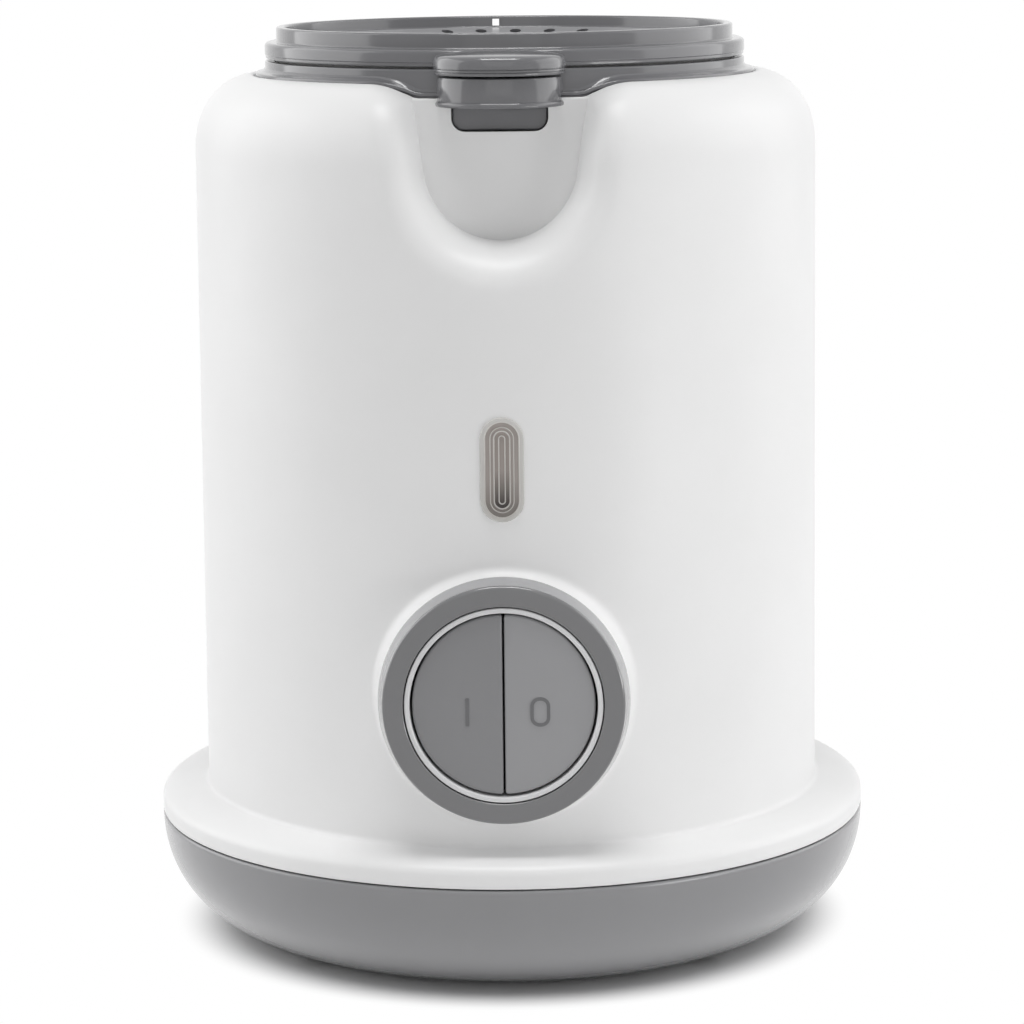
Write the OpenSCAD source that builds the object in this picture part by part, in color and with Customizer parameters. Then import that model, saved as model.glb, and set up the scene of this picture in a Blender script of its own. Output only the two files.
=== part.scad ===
// Baby food warmer: a vented lid over a lift-out basket, which hangs in a heated water tank
// inside a moulded shell on a bowl-shaped base, with two push keys and a pilot lamp.
// Millimetres. +Z is up, the front faces -Y, and the origin is on the table under the middle.

/* [Body] */
// Radius of the body just above the skirt
body_r = 69.5; // [67:0.5:74]
// How much the body narrows on its way up
body_draft = 0.5; // [0:0.1:2]
// Height of the top of the shell above the table
shell_top = 194.4; // [188:0.2:215]
// Height of the rounded shoulder
shoulder_h = 16.6; // [12:0.2:20]
// Fullness of the shoulder, where 2 is an ellipse
shoulder_full = 2.15; // [2:0.05:3]
// Wall of the shell
shell_wall = 2.4; // [1.8:0.1:3]

/* [Base] */
// Radius of the base at the seam
base_r = 80; // [78:0.5:90]
// Height of the seam between base pan and shell
seam_h = 27; // [23:0.5:32]
// Gap that shows as the seam
seam_gap = 0.4; // [0.2:0.1:0.8]
// Height of the straight lip above the seam
skirt_lip = 3.6; // [2:0.2:7]
// Width of the rounded top of the skirt
skirt_round_w = 6.6; // [4:0.2:8]
// Height of the rounded top of the skirt
skirt_round_h = 6; // [3:0.2:8]
// Fillet between skirt and body
skirt_fillet = 1.2; // [0.6:0.1:3]
// Width of the curved side of the base pan in plan
pan_round_w = 30; // [26:0.5:34]
// Wall of the base pan
pan_wall = 2.6; // [2:0.1:3.5]
// Height of the ring of the pan that locates the shell
spigot_h = 4; // [2:0.5:6]
// Wall of that ring
spigot_wall = 1.8; // [1.2:0.1:2.5]

/* [Feet and base screws] */
// Radius of a rubber foot
foot_r = 7; // [5:0.5:9]
// Height of a foot below the base pan
foot_proud = 1.5; // [1:0.1:3]
// Depth of the pocket that a foot sits in
foot_pocket = 1.2; // [0.8:0.1:1.6]
// Distance of the feet inside the edge of the flat middle
foot_inset = 7; // [6:0.5:12]
// Distance of the base screws inside the outside of the body
post_inset = 9.5; // [8.5:0.5:11.5]
// Radius of a screw post in the pan
post_r = 5.2; // [4.6:0.1:6]
// Radius of a base screw's shank
screw_r = 1.5; // [1.2:0.1:1.8]
// Radius of a base screw's head
screw_head_r = 3; // [2.5:0.1:3.2]
// Length of a base screw's shank
screw_l = 14; // [10:0.5:18]

/* [Chamber] */
// Space between the outside of the body and the inside of the basket
chamber_inset = 21.9; // [20.9:0.1:26]
// Wall of the basket
basket_wall = 1.8; // [1.4:0.1:2.4]
// Depth of the basket below its collar top
basket_depth = 113; // [90:1:118]
// Free space under the basket for water
water_h = 4.8; // [3:0.2:10]
// Gap between basket and tank
tank_gap = 0.8; // [0.5:0.1:1.5]
// Wall of the water tank
tank_wall = 1.2; // [0.8:0.1:1.6]
// Width of the rim that the tank hangs by
tank_rim_w = 1.9; // [1.5:0.1:2.4]
// Drop of the tank's rim below the top of the shell
tank_rim_drop = 17; // [15:0.5:24]
// Wall of the well around the tank
well_wall = 2.4; // [1.8:0.1:3]
// Height of the well below the top of the shell
well_h = 44; // [38:1:60]
// Drop of the seat for the collar below the top of the shell
seat_drop = 2.1; // [1.4:0.1:3]

/* [Basket collar] */
// Height of the collar above its seat
collar_h = 3.3; // [3:0.1:6]
// Wall of the collar
collar_wall = 2; // [1.6:0.1:2.4]
// How far the collar stands out from the basket
collar_step = 3.8; // [3.2:0.1:5]
// Width of the flared foot of the collar
collar_foot_w = 2.3; // [1.5:0.1:3]
// Thickness of the flared foot of the collar
collar_foot_h = 0.8; // [0.6:0.1:1.2]
// Depth of the collar below its seat
collar_plug = 7.2; // [6:0.2:9]
// Width of the grip at the front of the collar
grip_w = 26.3; // [20:0.5:30]
// How far the grip stays behind the outside of the body
grip_inset = 4.5; // [2:0.5:7]
// Height of the grip
grip_h = 6.2; // [4:0.2:8]
// Corner radius of the grip in plan
grip_corner = 12.2; // [4:0.2:12.8]
// Width of the key lug under the grip
lug_w = 19.4; // [14:0.2:22]
// Drop of the lug's lower end below the top of the shell
lug_drop = 10.8; // [9:0.2:11.2]
// Number of slots in the basket's wall
basket_slots = 8; // [4:1:12]
// Width of a slot in the basket's wall
basket_slot_w = 7; // [4:0.5:9]
// Number of drain holes in the basket's floor
basket_holes = 8; // [4:1:12]
// Radius of a drain hole
basket_hole_r = 4; // [2.5:0.5:5]

/* [Lid] */
// Height of the lid's rim above its flange
rim_h = 3.3; // [2:0.1:6]
// Wall of the lid's rim
rim_wall = 1.8; // [1.2:0.1:2.4]
// Distance of the rim inside the flange
rim_inset = 2.6; // [2:0.1:4]
// Height of the lid's flange
flange_h = 3.6; // [2.6:0.1:5]
// Thickness of the vented floor
lid_floor = 1.8; // [1.4:0.1:2.4]
// Depth of the lid's sealing ring inside the collar
lid_seal_h = 4.6; // [3:0.2:6]
// Wall of the lid's sealing ring
lid_seal_wall = 1.8; // [1.4:0.1:2.2]
// Number of steam slots
vent_n = 24; // [12:1:30]
// Width of a steam slot
vent_w = 2.8; // [1.5:0.1:3.2]
// Length of a steam slot
vent_l = 17; // [12:0.5:21]
// Distance of a steam slot's outer end from the inside of the rim
vent_inset = 8.8; // [6:0.2:14]
// Width of the lid's tab
tab_w = 27.9; // [22:0.5:32]
// How far the tab stays behind the outside of the body
tab_inset = 3.5; // [1:0.5:6]
// Thickness of the tab
tab_h = 4.2; // [3:0.2:5]
// Corner radius of the tab in plan
tab_corner = 13; // [4:0.2:13.6]
// Width of the vent notch at the back of the rim
notch_w = 1.8; // [1:0.1:3]
// Depth of the vent notch at the back of the rim
notch_h = 2; // [1:0.1:2.6]

/* [Finger scoop] */
// Radius of the round bottom of the scoop at the well
scoop_r = 16.2; // [13:0.2:19]
// Drop of the scoop's centre below the top of the shell
scoop_drop = 18.4; // [17:0.2:24]
// Outward lean of the scoop's sides in degrees
scoop_lean = 7; // [2:0.5:12]
// Width of the rounded lip of the scoop
scoop_lip = 9.5; // [6:0.5:11]
// Drop of the well's edge in the scoop below the top of the shell
scoop_edge_drop = 4.3; // [3.6:0.1:6]

/* [Keys] */
// Height of the keys' centre above the table
button_h = 66; // [64:0.5:70]
// How far the bezel stands out from the body
bezel_proud = 7.5; // [6:0.1:9]
// Radius of the bezel's front face
bezel_r = 25.7; // [24.5:0.1:27]
// How much wider the bezel is at its root
bezel_taper = 1.2; // [0.4:0.1:1.6]
// Rounding of the bezel's front edge
bezel_edge = 1.4; // [0.8:0.1:2]
// Wall of the bezel's sleeve
sleeve_wall = 1.9; // [1.4:0.1:2.2]
// Radius of the two keys together
key_r = 19.4; // [18:0.1:20]
// Gap between the two keys
key_gap = 0.5; // [0.4:0.1:1]
// Width of the pale trim ring
trim_w = 1.3; // [0.9:0.1:1.8]
// Travel of a key
key_travel = 1.8; // [1:0.1:2]
// Wall of a key
key_wall = 1.8; // [1.2:0.1:2.2]
// Distance of a key's plunger from the middle
plunger_x = 8.5; // [7:0.1:10]
// Radius of a key's plunger
plunger_r = 2.2; // [1.6:0.1:2.6]
// Radius of a key spring's wire
spring_wire = 0.5; // [0.4:0.05:0.7]

/* [Pilot lamp] */
// Height of the lamp's centre above the keys' centre
lamp_rise = 49.7; // [46:0.5:56]
// Width of the lens
lens_w = 9.4; // [7:0.2:11]
// Height of the lens
lens_h = 21.9; // [16:0.2:26]
// How far the lens stands out from the shell
lens_proud = 0.6; // [0.3:0.1:1.2]
// Radius of the lamp
lamp_r = 2.5; // [1.5:0.1:2.8]

/* [Heater] */
// How far the heating plate stays inside the outside of the tank
plate_inset = 8.4; // [6.4:0.2:13]
// Thickness of the heating plate
plate_t = 4; // [3:0.1:6]
// How far the element's ring stays inside the edge of the plate
element_inset = 11; // [9:0.5:15]
// Radius of the element's tube
element_tube = 3.2; // [2.6:0.1:4]
// Radius of the thermostat
thermostat_r = 7.5; // [6:0.1:9]

/* [Cord inlet] */
// Height of the cord inlet above the table
inlet_h = 15; // [14:0.5:17]
// Bore of the cord inlet
inlet_r = 3.4; // [2.6:0.1:4]
// Wall of the inlet's bush
inlet_wall = 2; // [1.4:0.1:2.4]

/* [Fits] */
// Clearance between pieces that move past each other
run_fit = 0.4; // [0.3:0.05:0.6]
// Clearance between pieces that are fixed to each other
seat_fit = 0.2; // [0.1:0.05:0.3]
// Clearance of a screw in its bore
thread_fit = 0.05; // [0.03:0.01:0.1]

/* [Hidden] */
$fn = 96;
arc_steps = 6;
long_arc_steps = 10;
overcut = 1;

// body and shoulder
shoulder_z = shell_top - shoulder_h;
body_top_r = body_r - body_draft;
skirt_z = seam_h + skirt_lip + skirt_round_h;

// base pan
pan_flat_r = base_r - pan_round_w;
pan_z = foot_proud;
pan_top = seam_h - seam_gap / 2;
shell_z = seam_h + seam_gap / 2;
spigot_out_r = base_r - shell_wall - seat_fit;
spigot_in_r = spigot_out_r - spigot_wall;
pan_floor = pan_z + pan_wall;
foot_ring_r = pan_flat_r - foot_inset;
post_ring_r = body_r - post_inset;
screw_bore = screw_r + thread_fit;
screw_head_t = 2.2;
post_web = 3;
post_angles = [45, 135, 225, 315];
boss_wall = 2.4;
boss_r = screw_r + boss_wall;
boss_past = 6;
boss_top = shell_z + screw_l + boss_past;

// chamber, from the basket outwards
basket_r = body_r - chamber_inset;
basket_out_r = basket_r + basket_wall;
tank_in_r = basket_out_r + tank_gap;
tank_out_r = tank_in_r + tank_wall;
ledge_r = tank_out_r + run_fit;
collar_r = basket_out_r + collar_step;
collar_in_r = collar_r - collar_wall;
well_in_r = collar_r + run_fit;
well_out_r = well_in_r + well_wall;
foot_flange_r = collar_r + collar_foot_w;
seat_z = shell_top - seat_drop;
seat_r = foot_flange_r + run_fit;
well_z = shell_top - well_h;
ledge_t = 3;
seal_t = 1.4;
tank_rim_z = shell_top - tank_rim_drop;
ledge_z = tank_rim_z - tank_wall - seal_t;
collar_z = seat_z + run_fit;
collar_top = collar_z + collar_h;
collar_low = seat_z - collar_plug;
basket_z = collar_top - basket_depth;
tank_z = basket_z - water_h - tank_wall;
corner_r = 5.5;

// shoulder as an ellipse-like curve that ends over the seat
shoulder_land = 1;
shoulder_in_r = seat_r - shoulder_land;
shoulder_w = body_top_r - shoulder_in_r;

// middle of the shell's wall, where posts and ribs end
mid_wall_r = body_top_r - shell_wall / 2;

// lid
flange_z = collar_top + run_fit;
flange_top = flange_z + flange_h;
rim_r = collar_r - rim_inset;
rim_top = flange_top + rim_h;
lid_floor_z = flange_top - seat_fit - lid_floor;
lid_seal_r = collar_in_r - run_fit;
lid_seal_in_r = lid_seal_r - lid_seal_wall;
seal_bead_inset = lid_seal_wall * 0.3;
seal_bead_h = 1;

vent_out_r = rim_r - rim_wall - vent_inset;
vent_in_r = vent_out_r - vent_l;

// grip and tab, one over the other
grip_reach = body_r - grip_inset;
tab_reach = body_r - tab_inset;
tab_drop = 0.8;
tab_top = flange_top - tab_drop;
tab_z = tab_top - tab_h;
grip_top = tab_z - run_fit;
grip_z = grip_top - grip_h;
grip_lip_h = 1.1;
grip_lip_w = 0.4;
lug_z = shell_top - lug_drop;
lug_set = 1;
lug_r = well_out_r - lug_set;
lug_corner = 2.4;

// scoop
scoop_z = shell_top - scoop_drop;
scoop_edge_z = shell_top - scoop_edge_drop;
scoop_over = 18;
scoop_top = shell_top + scoop_over;
scoop_arc_n = 9;
scoop_side_n = 4;
scoop_lip_n = 6;
scoop_proud = 0.12;

// keys, measured outwards from the axis of the body
bezel_out = body_r + bezel_proud;
bezel_gap = 1;
bezel_back = body_r + bezel_gap;
bezel_root_r = bezel_r + bezel_taper;
sleeve_in_r = key_r + trim_w + 3 * seat_fit;
sleeve_out_r = sleeve_in_r + sleeve_wall;
sleeve_l = 15.7;
sleeve_back = bezel_out - sleeve_l;
trim_out = bezel_out - seat_fit;
trim_l = 6.8;
trim_back = trim_out - trim_l;
key_out = bezel_out - run_fit;
key_flange_r = sleeve_in_r - run_fit;
key_flange_out = trim_back - run_fit;
key_flange_t = 1.5;
key_back = key_flange_out - key_flange_t;
frame_step = 1.2;
frame_out = sleeve_back + frame_step;
frame_t = 2;
frame_back = frame_out - frame_t;
frame_leg = 2.6;
board_out = frame_back - frame_leg;
board_t = 1.6;
board_back = board_out - board_t;
board_w = 56;
board_h = 60;
board_hole_x = 24;
board_hole_z = 26;
switch_t = 1.7;
switch_w = 6;
plunger_back = board_out + switch_t + key_travel + run_fit;
spring_in_r = plunger_r + run_fit;
spring_out_r = spring_in_r + 2 * spring_wire;
boss_land = 0.4;
boss_flare = 3;
small_screw_r = 1.2;
small_head_r = 2.6;
small_head_t = 1.8;
small_screw_l = 5;
board_post_r = 3;

// lamp
lamp_h = button_h + lamp_rise;
lens_r = lens_w / 2;
lens_half = lens_h / 2 - lens_r;
lens_flange = 1.5;
lens_step = 0.9;
lens_flange_out = body_r - shell_wall - lens_step;
lens_flange_t = 1.2;
lamp_depth = 3.6;
lamp_board_out = lens_flange_out - lens_flange_t - lamp_depth;
lamp_board_w = 14;
lamp_board_past = 10;
lamp_board_half = lens_h / 2 + lamp_board_past;
lamp_post_past = 6;
lamp_post = lens_h / 2 + lamp_post_past;
lamp_drop = 3.6;

// heater
plate_r = tank_out_r - plate_inset;
element_r = plate_r - element_inset;
plate_z = tank_z - seat_fit - plate_t;
element_z = plate_z - seat_fit - element_tube;
clamp_t = 1.6;
clamp_z = element_z - element_tube - seat_fit - clamp_t;
clamp_w = 14;
clamp_past = 8;
clamp_half = element_r + clamp_past;
clamp_screw_inset = 12;
clamp_screw_x = element_r - clamp_screw_inset;
plate_boss_r = 4;
thermostat_h = 5;
fuse_r = 2;
fuse_l = 11;
fuse_inset = 10;
fuse_y = element_r - fuse_inset;
clip_foot = 5;
element_gap = 40;
terminal_l = 15;
terminal_r = 1.6;

// parts of the board and of the pan
relay_size = [15, 14, 18];
capacitor_r = 5;
capacitor_l = 11;
parts_drop = 15;
parts_x = 14;
block_size = [26, 14, 11];
block_inset = 14;
block_y = pan_flat_r - block_inset;
inlet_inset = 4;
inlet_l = 10;
inlet_out = base_r - inlet_inset;
inlet_in = inlet_out - inlet_l;
inlet_boss_wall = 2.4;
inlet_boss_r = inlet_r + inlet_wall + inlet_boss_wall;
inlet_flange_w = 1.8;
inlet_flange_r = inlet_r + inlet_wall + inlet_flange_w;
inlet_flange_t = 2;

shell_col = [0.91, 0.905, 0.89];
grey_col = [0.5, 0.5, 0.51];
dark_col = [0.3, 0.3, 0.31];
trim_col = [0.8, 0.8, 0.8];
metal_col = [0.72, 0.73, 0.75];
rubber_col = [0.12, 0.12, 0.12];
board_col = [0.1, 0.35, 0.2];

// Points of an ellipse-like arc about c, with half axes a, from one angle to another
function bow(c, a, from, to, full = 2, steps = arc_steps) = [
    for (i = [0 : steps])
        let (t = from + (to - from) * i / steps, e = 2 / full)
            c + [a[0] * sign(cos(t)) * pow(abs(cos(t)), e), a[1] * sign(sin(t)) * pow(abs(sin(t)), e)]
];

// Outside of the shell from the seam up to the seat, moved inwards by d
function shell_side(d) = let (
        lean_r = body_r - d,
        w = shoulder_w - d,
        h = shoulder_h - d,
        fillet = max(skirt_fillet - d, 0.3),
        round_r = base_r - skirt_round_w,
        end = acos(pow((seat_r + d - shoulder_in_r) / w, shoulder_full / 2))
    ) concat(
        [[base_r - d, shell_z - (d > 0 ? overcut : 0)]],
        bow([round_r, seam_h + skirt_lip], [skirt_round_w - d, skirt_round_h - d], 0, 90),
        bow([lean_r + fillet, skirt_z - d + fillet], [fillet, fillet], 270, 180),
        bow([shoulder_in_r, shoulder_z], [w, h], 0, end, shoulder_full, long_arc_steps)
    );

// Radius of the body at height z
function body_r_at(z) = z < shoulder_z
    ? body_r - body_draft * (z - skirt_z) / (shoulder_z - skirt_z)
    : shoulder_in_r + shoulder_w
        * pow(1 - pow(min((z - shoulder_z) / shoulder_h, 0.999), shoulder_full), 1 / shoulder_full);

// Right half of the scoop's outline, from the bottom up, widened by o
function scoop_half(r, o) = let (
        low = (r + o) * [cos(scoop_lean), -sin(scoop_lean)] + [0, scoop_z],
        rise = scoop_top - low[1]
    ) concat(
        [for (i = [0 : scoop_arc_n])
            let (a = -90 + (90 - scoop_lean) * i / scoop_arc_n)
                (r + o) * [cos(a), sin(a)] + [0, scoop_z]],
        [for (i = [1 : scoop_side_n])
            low + [tan(scoop_lean), 1] * rise * i / scoop_side_n]
    );

// Whole outline of the scoop, from the left top down and up to the right top
function scoop_line(r, o) = let (half = scoop_half(r, o), n = len(half)) concat(
        [for (i = [n - 1 : -1 : 1]) [-half[i][0], half[i][1]]], half
    );

// One ring of the scoop's lip, from the well (s = 0) to the outside of the body (s = 1)
function scoop_ring(r, s) = [
    for (p = scoop_line(r, scoop_lip * (1 - cos(90 * s))))
        let (
            wall = -sqrt(pow(well_in_r, 2) - pow(p[0], 2)),
            skin = -sqrt(pow(body_r_at(p[1]), 2) - pow(p[0], 2)) - scoop_proud
        ) [p[0], wall + (skin - wall) * sin(90 * s), p[1]]
];

function flat_ring(line, y) = [for (p = line) [p[0], y, p[1]]];

function middle(ring) = [for (k = [0 : 2]) sum_of(ring, k) / len(ring)];

function sum_of(ring, k, i = 0) = i == len(ring) ? 0 : ring[i][k] + sum_of(ring, k, i + 1);

// Closed solid through a list of rings with equal numbers of points
module loft(rings) {
    n = len(rings[0]);
    last = len(rings) - 1;
    back = (last + 1) * n;
    front = back + 1;
    polyhedron(
        points = concat([for (ring = rings) each ring], [middle(rings[0]), middle(rings[last])]),
        faces = [for (j = [0 : n - 1])
            let (k = (j + 1) % n)
                each concat(
                    [[j, k, back], [last * n + k, last * n + j, front]],
                    [for (i = [0 : last - 1])
                        each [[i * n + j, (i + 1) * n + j, i * n + k],
                            [i * n + k, (i + 1) * n + j, (i + 1) * n + k]]]
                )]
    );
}

// The hollow of the finger scoop, or the block around it when r is larger
module scoop_form(r) {
    loft(concat(
        [flat_ring(scoop_line(r, 0), -well_out_r * 0.75)],
        [for (i = [0 : scoop_lip_n]) scoop_ring(r, i / scoop_lip_n)],
        [flat_ring(scoop_line(r, scoop_lip), -body_r * 1.3)]
    ));
}

module scoop_cut() {
    difference() {
        scoop_form(scoop_r);
        translate([0, 0, well_z])
            cylinder(r = well_out_r, h = scoop_edge_z - well_z);
    }
}

// Children drawn in a plane that faces the front, with local Z outwards
module facing_front(z) {
    translate([0, 0, z]) rotate([90, 0, 0]) children();
}

module tube(r_out, r_in, h) {
    difference() {
        cylinder(r = r_out, h = h);
        translate([0, 0, -overcut]) cylinder(r = r_in, h = h + 2 * overcut);
    }
}

module pill(r, half, h) {
    for (s = [-1, 1])
        translate([0, s * half, 0]) cylinder(r = r, h = h);
    translate([-r, -half, 0]) cube([2 * r, 2 * half, h]);
}

module around(angles, r) {
    for (a = angles)
        rotate(a) translate([r, 0, 0]) children();
}

// Tongue that runs forward from the axis to a rounded front
module tongue(w, reach, corner, h) {
    inner = max(w / 2 - corner, 0.3);
    round_r = w / 2 - inner;
    translate([-w / 2, -reach + round_r, 0]) cube([w, reach - round_r, h]);
    translate([-inner, -reach, 0]) cube([2 * inner, reach, h]);
    for (s = [-1, 1])
        translate([s * inner, -reach + round_r, 0]) cylinder(r = round_r, h = h);
}

module screw(r, l, head_r, head_t) {
    cylinder(r = r, h = l);
    translate([0, 0, -head_t]) cylinder(r = head_r, h = head_t);
}

module outer_shell() {
    side = shell_side(0);
    inner = shell_side(shell_wall);
    color(shell_col)
    difference() {
        union() {
            rotate_extrude() polygon(concat(
                side,
                [[seat_r, seat_z], [well_in_r, seat_z], [well_in_r, ledge_z], [ledge_r, ledge_z],
                    [ledge_r, ledge_z - ledge_t], [well_in_r, ledge_z - 2 * ledge_t],
                    [well_in_r, well_z], [well_out_r, well_z],
                    [well_out_r, shell_top - shell_wall - seat_drop]],
                [for (i = [len(inner) - 1 : -1 : 1])
                    if (inner[i][0] > well_out_r + 0.2) inner[i]],
                [[base_r - shell_wall, shell_z]]
            ));
            scoop_wall();
            button_boss();
            intersection() {
                union() {
                    board_posts();
                    screw_bosses();
                }
                translate([0, 0, shell_z]) cylinder(r = mid_wall_r, h = shell_top - shell_z);
            }
        }
        scoop_cut();
        lug_form(run_fit);
        facing_front(button_h) {
            cylinder(r = sleeve_out_r + seat_fit, h = bezel_out);
            translate([0, 0, bezel_back - seat_fit / 2])
                cylinder(r = bezel_root_r + seat_fit, h = bezel_out);
        }
        facing_front(lamp_h) pill(lens_r + seat_fit, lens_half, bezel_out);
        around(post_angles, post_ring_r)
            translate([0, 0, shell_z - overcut]) cylinder(r = screw_bore, h = screw_l + overcut);
        facing_front(button_h) board_hole_places()
            translate([0, 0, board_out - overcut])
                cylinder(r = small_screw_r + thread_fit, h = small_screw_l + overcut - board_t);
        facing_front(lamp_h) lamp_hole_places()
            translate([0, 0, lamp_board_out - overcut])
                cylinder(r = small_screw_r + thread_fit, h = small_screw_l + overcut - board_t);
    }
}

// Wall behind the finger scoop, which joins the outer wall to the well
module scoop_wall() {
    difference() {
        intersection() {
            scoop_form(scoop_r + shell_wall);
            rotate_extrude() polygon(concat(
                shell_side(shell_wall / 2),
                [[seat_r + shell_wall / 2, seat_z - shell_wall / 4], [0, seat_z - shell_wall / 4], [0, shell_z]]
            ));
        }
        translate([0, 0, shell_z]) cylinder(r = well_in_r + well_wall / 2, h = shell_top);
    }
}

// Upright form with round lower corners, for the basket's lug and for its notch in the well
module lug_form(grow) {
    half = lug_w / 2 + grow;
    low = lug_z - grow;
    corner = lug_corner + grow;
    inner = well_in_r * 0.7;
    depth = well_out_r + overcut - inner;
    facing_front(0) {
        translate([-half, low + corner, inner]) cube([2 * half, shell_top - low, depth]);
        translate([-half + corner, low, inner]) cube([2 * (half - corner), shell_top - low, depth]);
        for (s = [-1, 1])
            translate([s * (half - corner), low + corner, inner]) cylinder(r = corner, h = depth);
    }
}

// Raised ring that the bezel sits on
module button_boss() {
    root = bezel_root_r + boss_land;
    flare = boss_flare;
    low = sqrt(pow(mid_wall_r, 2) - pow(root + flare, 2)) - 1;
    boss_out = bezel_back - seat_fit;
    difference() {
        facing_front(button_h) rotate_extrude() polygon(concat(
            [[0, low], [0, boss_out], [root, boss_out]],
            bow([root + flare, boss_out - seat_fit], [flare, flare], 180, 250),
            [[root + flare, low]]
        ));
        translate([0, 0, shell_z]) cylinder(r = mid_wall_r, h = shell_top);
    }
}

module board_hole_places() {
    for (x = [-1, 1], y = [-1, 1])
        translate([x * board_hole_x, y * board_hole_z, 0]) children();
}

module lamp_hole_places() {
    for (y = [-1, 1])
        translate([0, y * lamp_post, 0]) children();
}

module board_posts() {
    facing_front(button_h) board_hole_places()
        translate([0, 0, board_out + seat_fit])
            cylinder(r = board_post_r, h = body_r - board_out);
    facing_front(lamp_h) lamp_hole_places()
        translate([0, 0, lamp_board_out + seat_fit])
            cylinder(r = board_post_r, h = body_r - lamp_board_out);
}

module screw_bosses() {
    web_t = 2;
    around(post_angles, post_ring_r) {
        translate([0, 0, shell_z]) cylinder(r = boss_r, h = boss_top - shell_z);
        translate([0, -web_t / 2, shell_z + spigot_h])
            cube([body_r - post_ring_r, web_t, boss_top - shell_z - spigot_h]);
    }
}

// Outside of the base pan from the flat middle up to the seam
function pan_side() = bow([pan_flat_r, pan_top], [base_r - pan_flat_r, pan_top - pan_z],
    270, 360, 2, long_arc_steps);

module base_pan() {
    head_z = pan_top - post_web;
    color(grey_col)
    difference() {
        union() {
            rotate_extrude() polygon(concat(
                [[0, pan_z]], pan_side(),
                [[spigot_out_r, pan_top], [spigot_out_r, shell_z + spigot_h],
                    [spigot_in_r, shell_z + spigot_h]],
                bow([pan_flat_r, pan_top], [spigot_in_r - pan_flat_r, pan_top - pan_floor], 360, 270),
                [[0, pan_floor]]
            ));
            intersection() {
                rotate_extrude() polygon(concat([[0, pan_z + 0.3]],
                    [for (p = pan_side()) p - [0.8, -0.3]], [[0, pan_top]]));
                union() {
                    around(post_angles, post_ring_r)
                        cylinder(r = post_r, h = pan_top - seat_fit);
                    around([90], inlet_in)
                        translate([0, 0, inlet_h]) rotate([0, 90, 0])
                            cylinder(r = inlet_boss_r, h = base_r);
                }
            }
        }
        around(post_angles, post_ring_r) {
            translate([0, 0, -overcut]) cylinder(r = screw_head_r + seat_fit, h = head_z + overcut);
            cylinder(r = screw_r + seat_fit, h = seam_h);
        }
        around(post_angles, foot_ring_r)
            cylinder(r = foot_r + seat_fit, h = pan_z + foot_pocket);
        around([90], 0) translate([0, 0, inlet_h]) rotate([0, 90, 0]) {
            translate([0, 0, inlet_in - overcut])
                cylinder(r = inlet_r + inlet_wall + seat_fit, h = base_r);
            translate([0, 0, inlet_out - inlet_flange_t - seat_fit])
                cylinder(r = inlet_flange_r + seat_fit, h = base_r);
        }
    }
}

module rubber_feet() {
    color(rubber_col)
    around(post_angles, foot_ring_r)
        cylinder(r = foot_r, h = pan_z + foot_pocket - seat_fit);
}

module base_screws() {
    color(metal_col)
    around(post_angles, post_ring_r)
        translate([0, 0, pan_top - post_web - seat_fit])
            screw(screw_r, screw_l, screw_head_r, screw_head_t);
}

module water_tank() {
    color(metal_col)
    rotate_extrude() polygon(concat(
        [[0, tank_z]],
        bow([tank_out_r - corner_r, tank_z + corner_r], [corner_r, corner_r], 270, 360),
        [[tank_out_r, tank_rim_z - tank_wall], [tank_out_r + tank_rim_w, tank_rim_z - tank_wall],
            [tank_out_r + tank_rim_w, tank_rim_z], [tank_in_r, tank_rim_z]],
        bow([tank_out_r - corner_r, tank_z + corner_r],
            [corner_r - tank_wall, corner_r - tank_wall], 360, 270),
        [[0, tank_z + tank_wall]]
    ));
}

module tank_seal() {
    color(rubber_col)
    translate([0, 0, ledge_z])
        tube(tank_out_r + tank_rim_w, ledge_r + 0.1, seal_t);
}

module heating_plate() {
    color(metal_col)
    difference() {
        union() {
            translate([0, 0, plate_z]) cylinder(r = plate_r, h = plate_t);
            for (s = [-1, 1])
                translate([s * clamp_screw_x, 0, clamp_z + clamp_t + seat_fit])
                    cylinder(r = plate_boss_r, h = plate_z - clamp_z - clamp_t);
        }
        translate([0, 0, plate_z - overcut])
            cylinder(r = thermostat_r + seat_fit, h = plate_t + 2 * overcut);
        for (s = [-1, 1])
            translate([s * clamp_screw_x, 0, clamp_z])
                cylinder(r = screw_bore, h = plate_z + plate_t * 0.6 - clamp_z);
    }
}

module heating_element() {
    start = -90 + element_gap / 2;
    color(dark_col)
    translate([0, 0, element_z]) {
        rotate(start)
            rotate_extrude(angle = 360 - element_gap)
                translate([element_r, 0]) circle(r = element_tube);
        for (a = [start, -start - 180])
            rotate(a) translate([element_r, 0, 0]) {
                sphere(r = element_tube);
                translate([0, 0, -terminal_l]) cylinder(r = terminal_r, h = terminal_l);
            }
    }
}

module heater_clamp() {
    color(metal_col)
    difference() {
        union() {
            translate([-clamp_half, -clamp_w / 2, clamp_z]) cube([2 * clamp_half, clamp_w, clamp_t]);
            translate([0, 0, clamp_z]) cylinder(r = thermostat_r + 2, h = clamp_t);
        }
        translate([0, 0, clamp_z - overcut])
            cylinder(r = thermostat_r - 2, h = clamp_t + 2 * overcut);
        for (s = [-1, 1])
            translate([s * clamp_screw_x, 0, clamp_z - overcut])
                cylinder(r = screw_r + seat_fit, h = clamp_t + 2 * overcut);
    }
}

module clamp_screws() {
    color(metal_col)
    for (s = [-1, 1])
        translate([s * clamp_screw_x, 0, clamp_z - thread_fit])
            screw(screw_r, plate_z - clamp_z + plate_t * 0.5, screw_head_r, screw_head_t);
}

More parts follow.
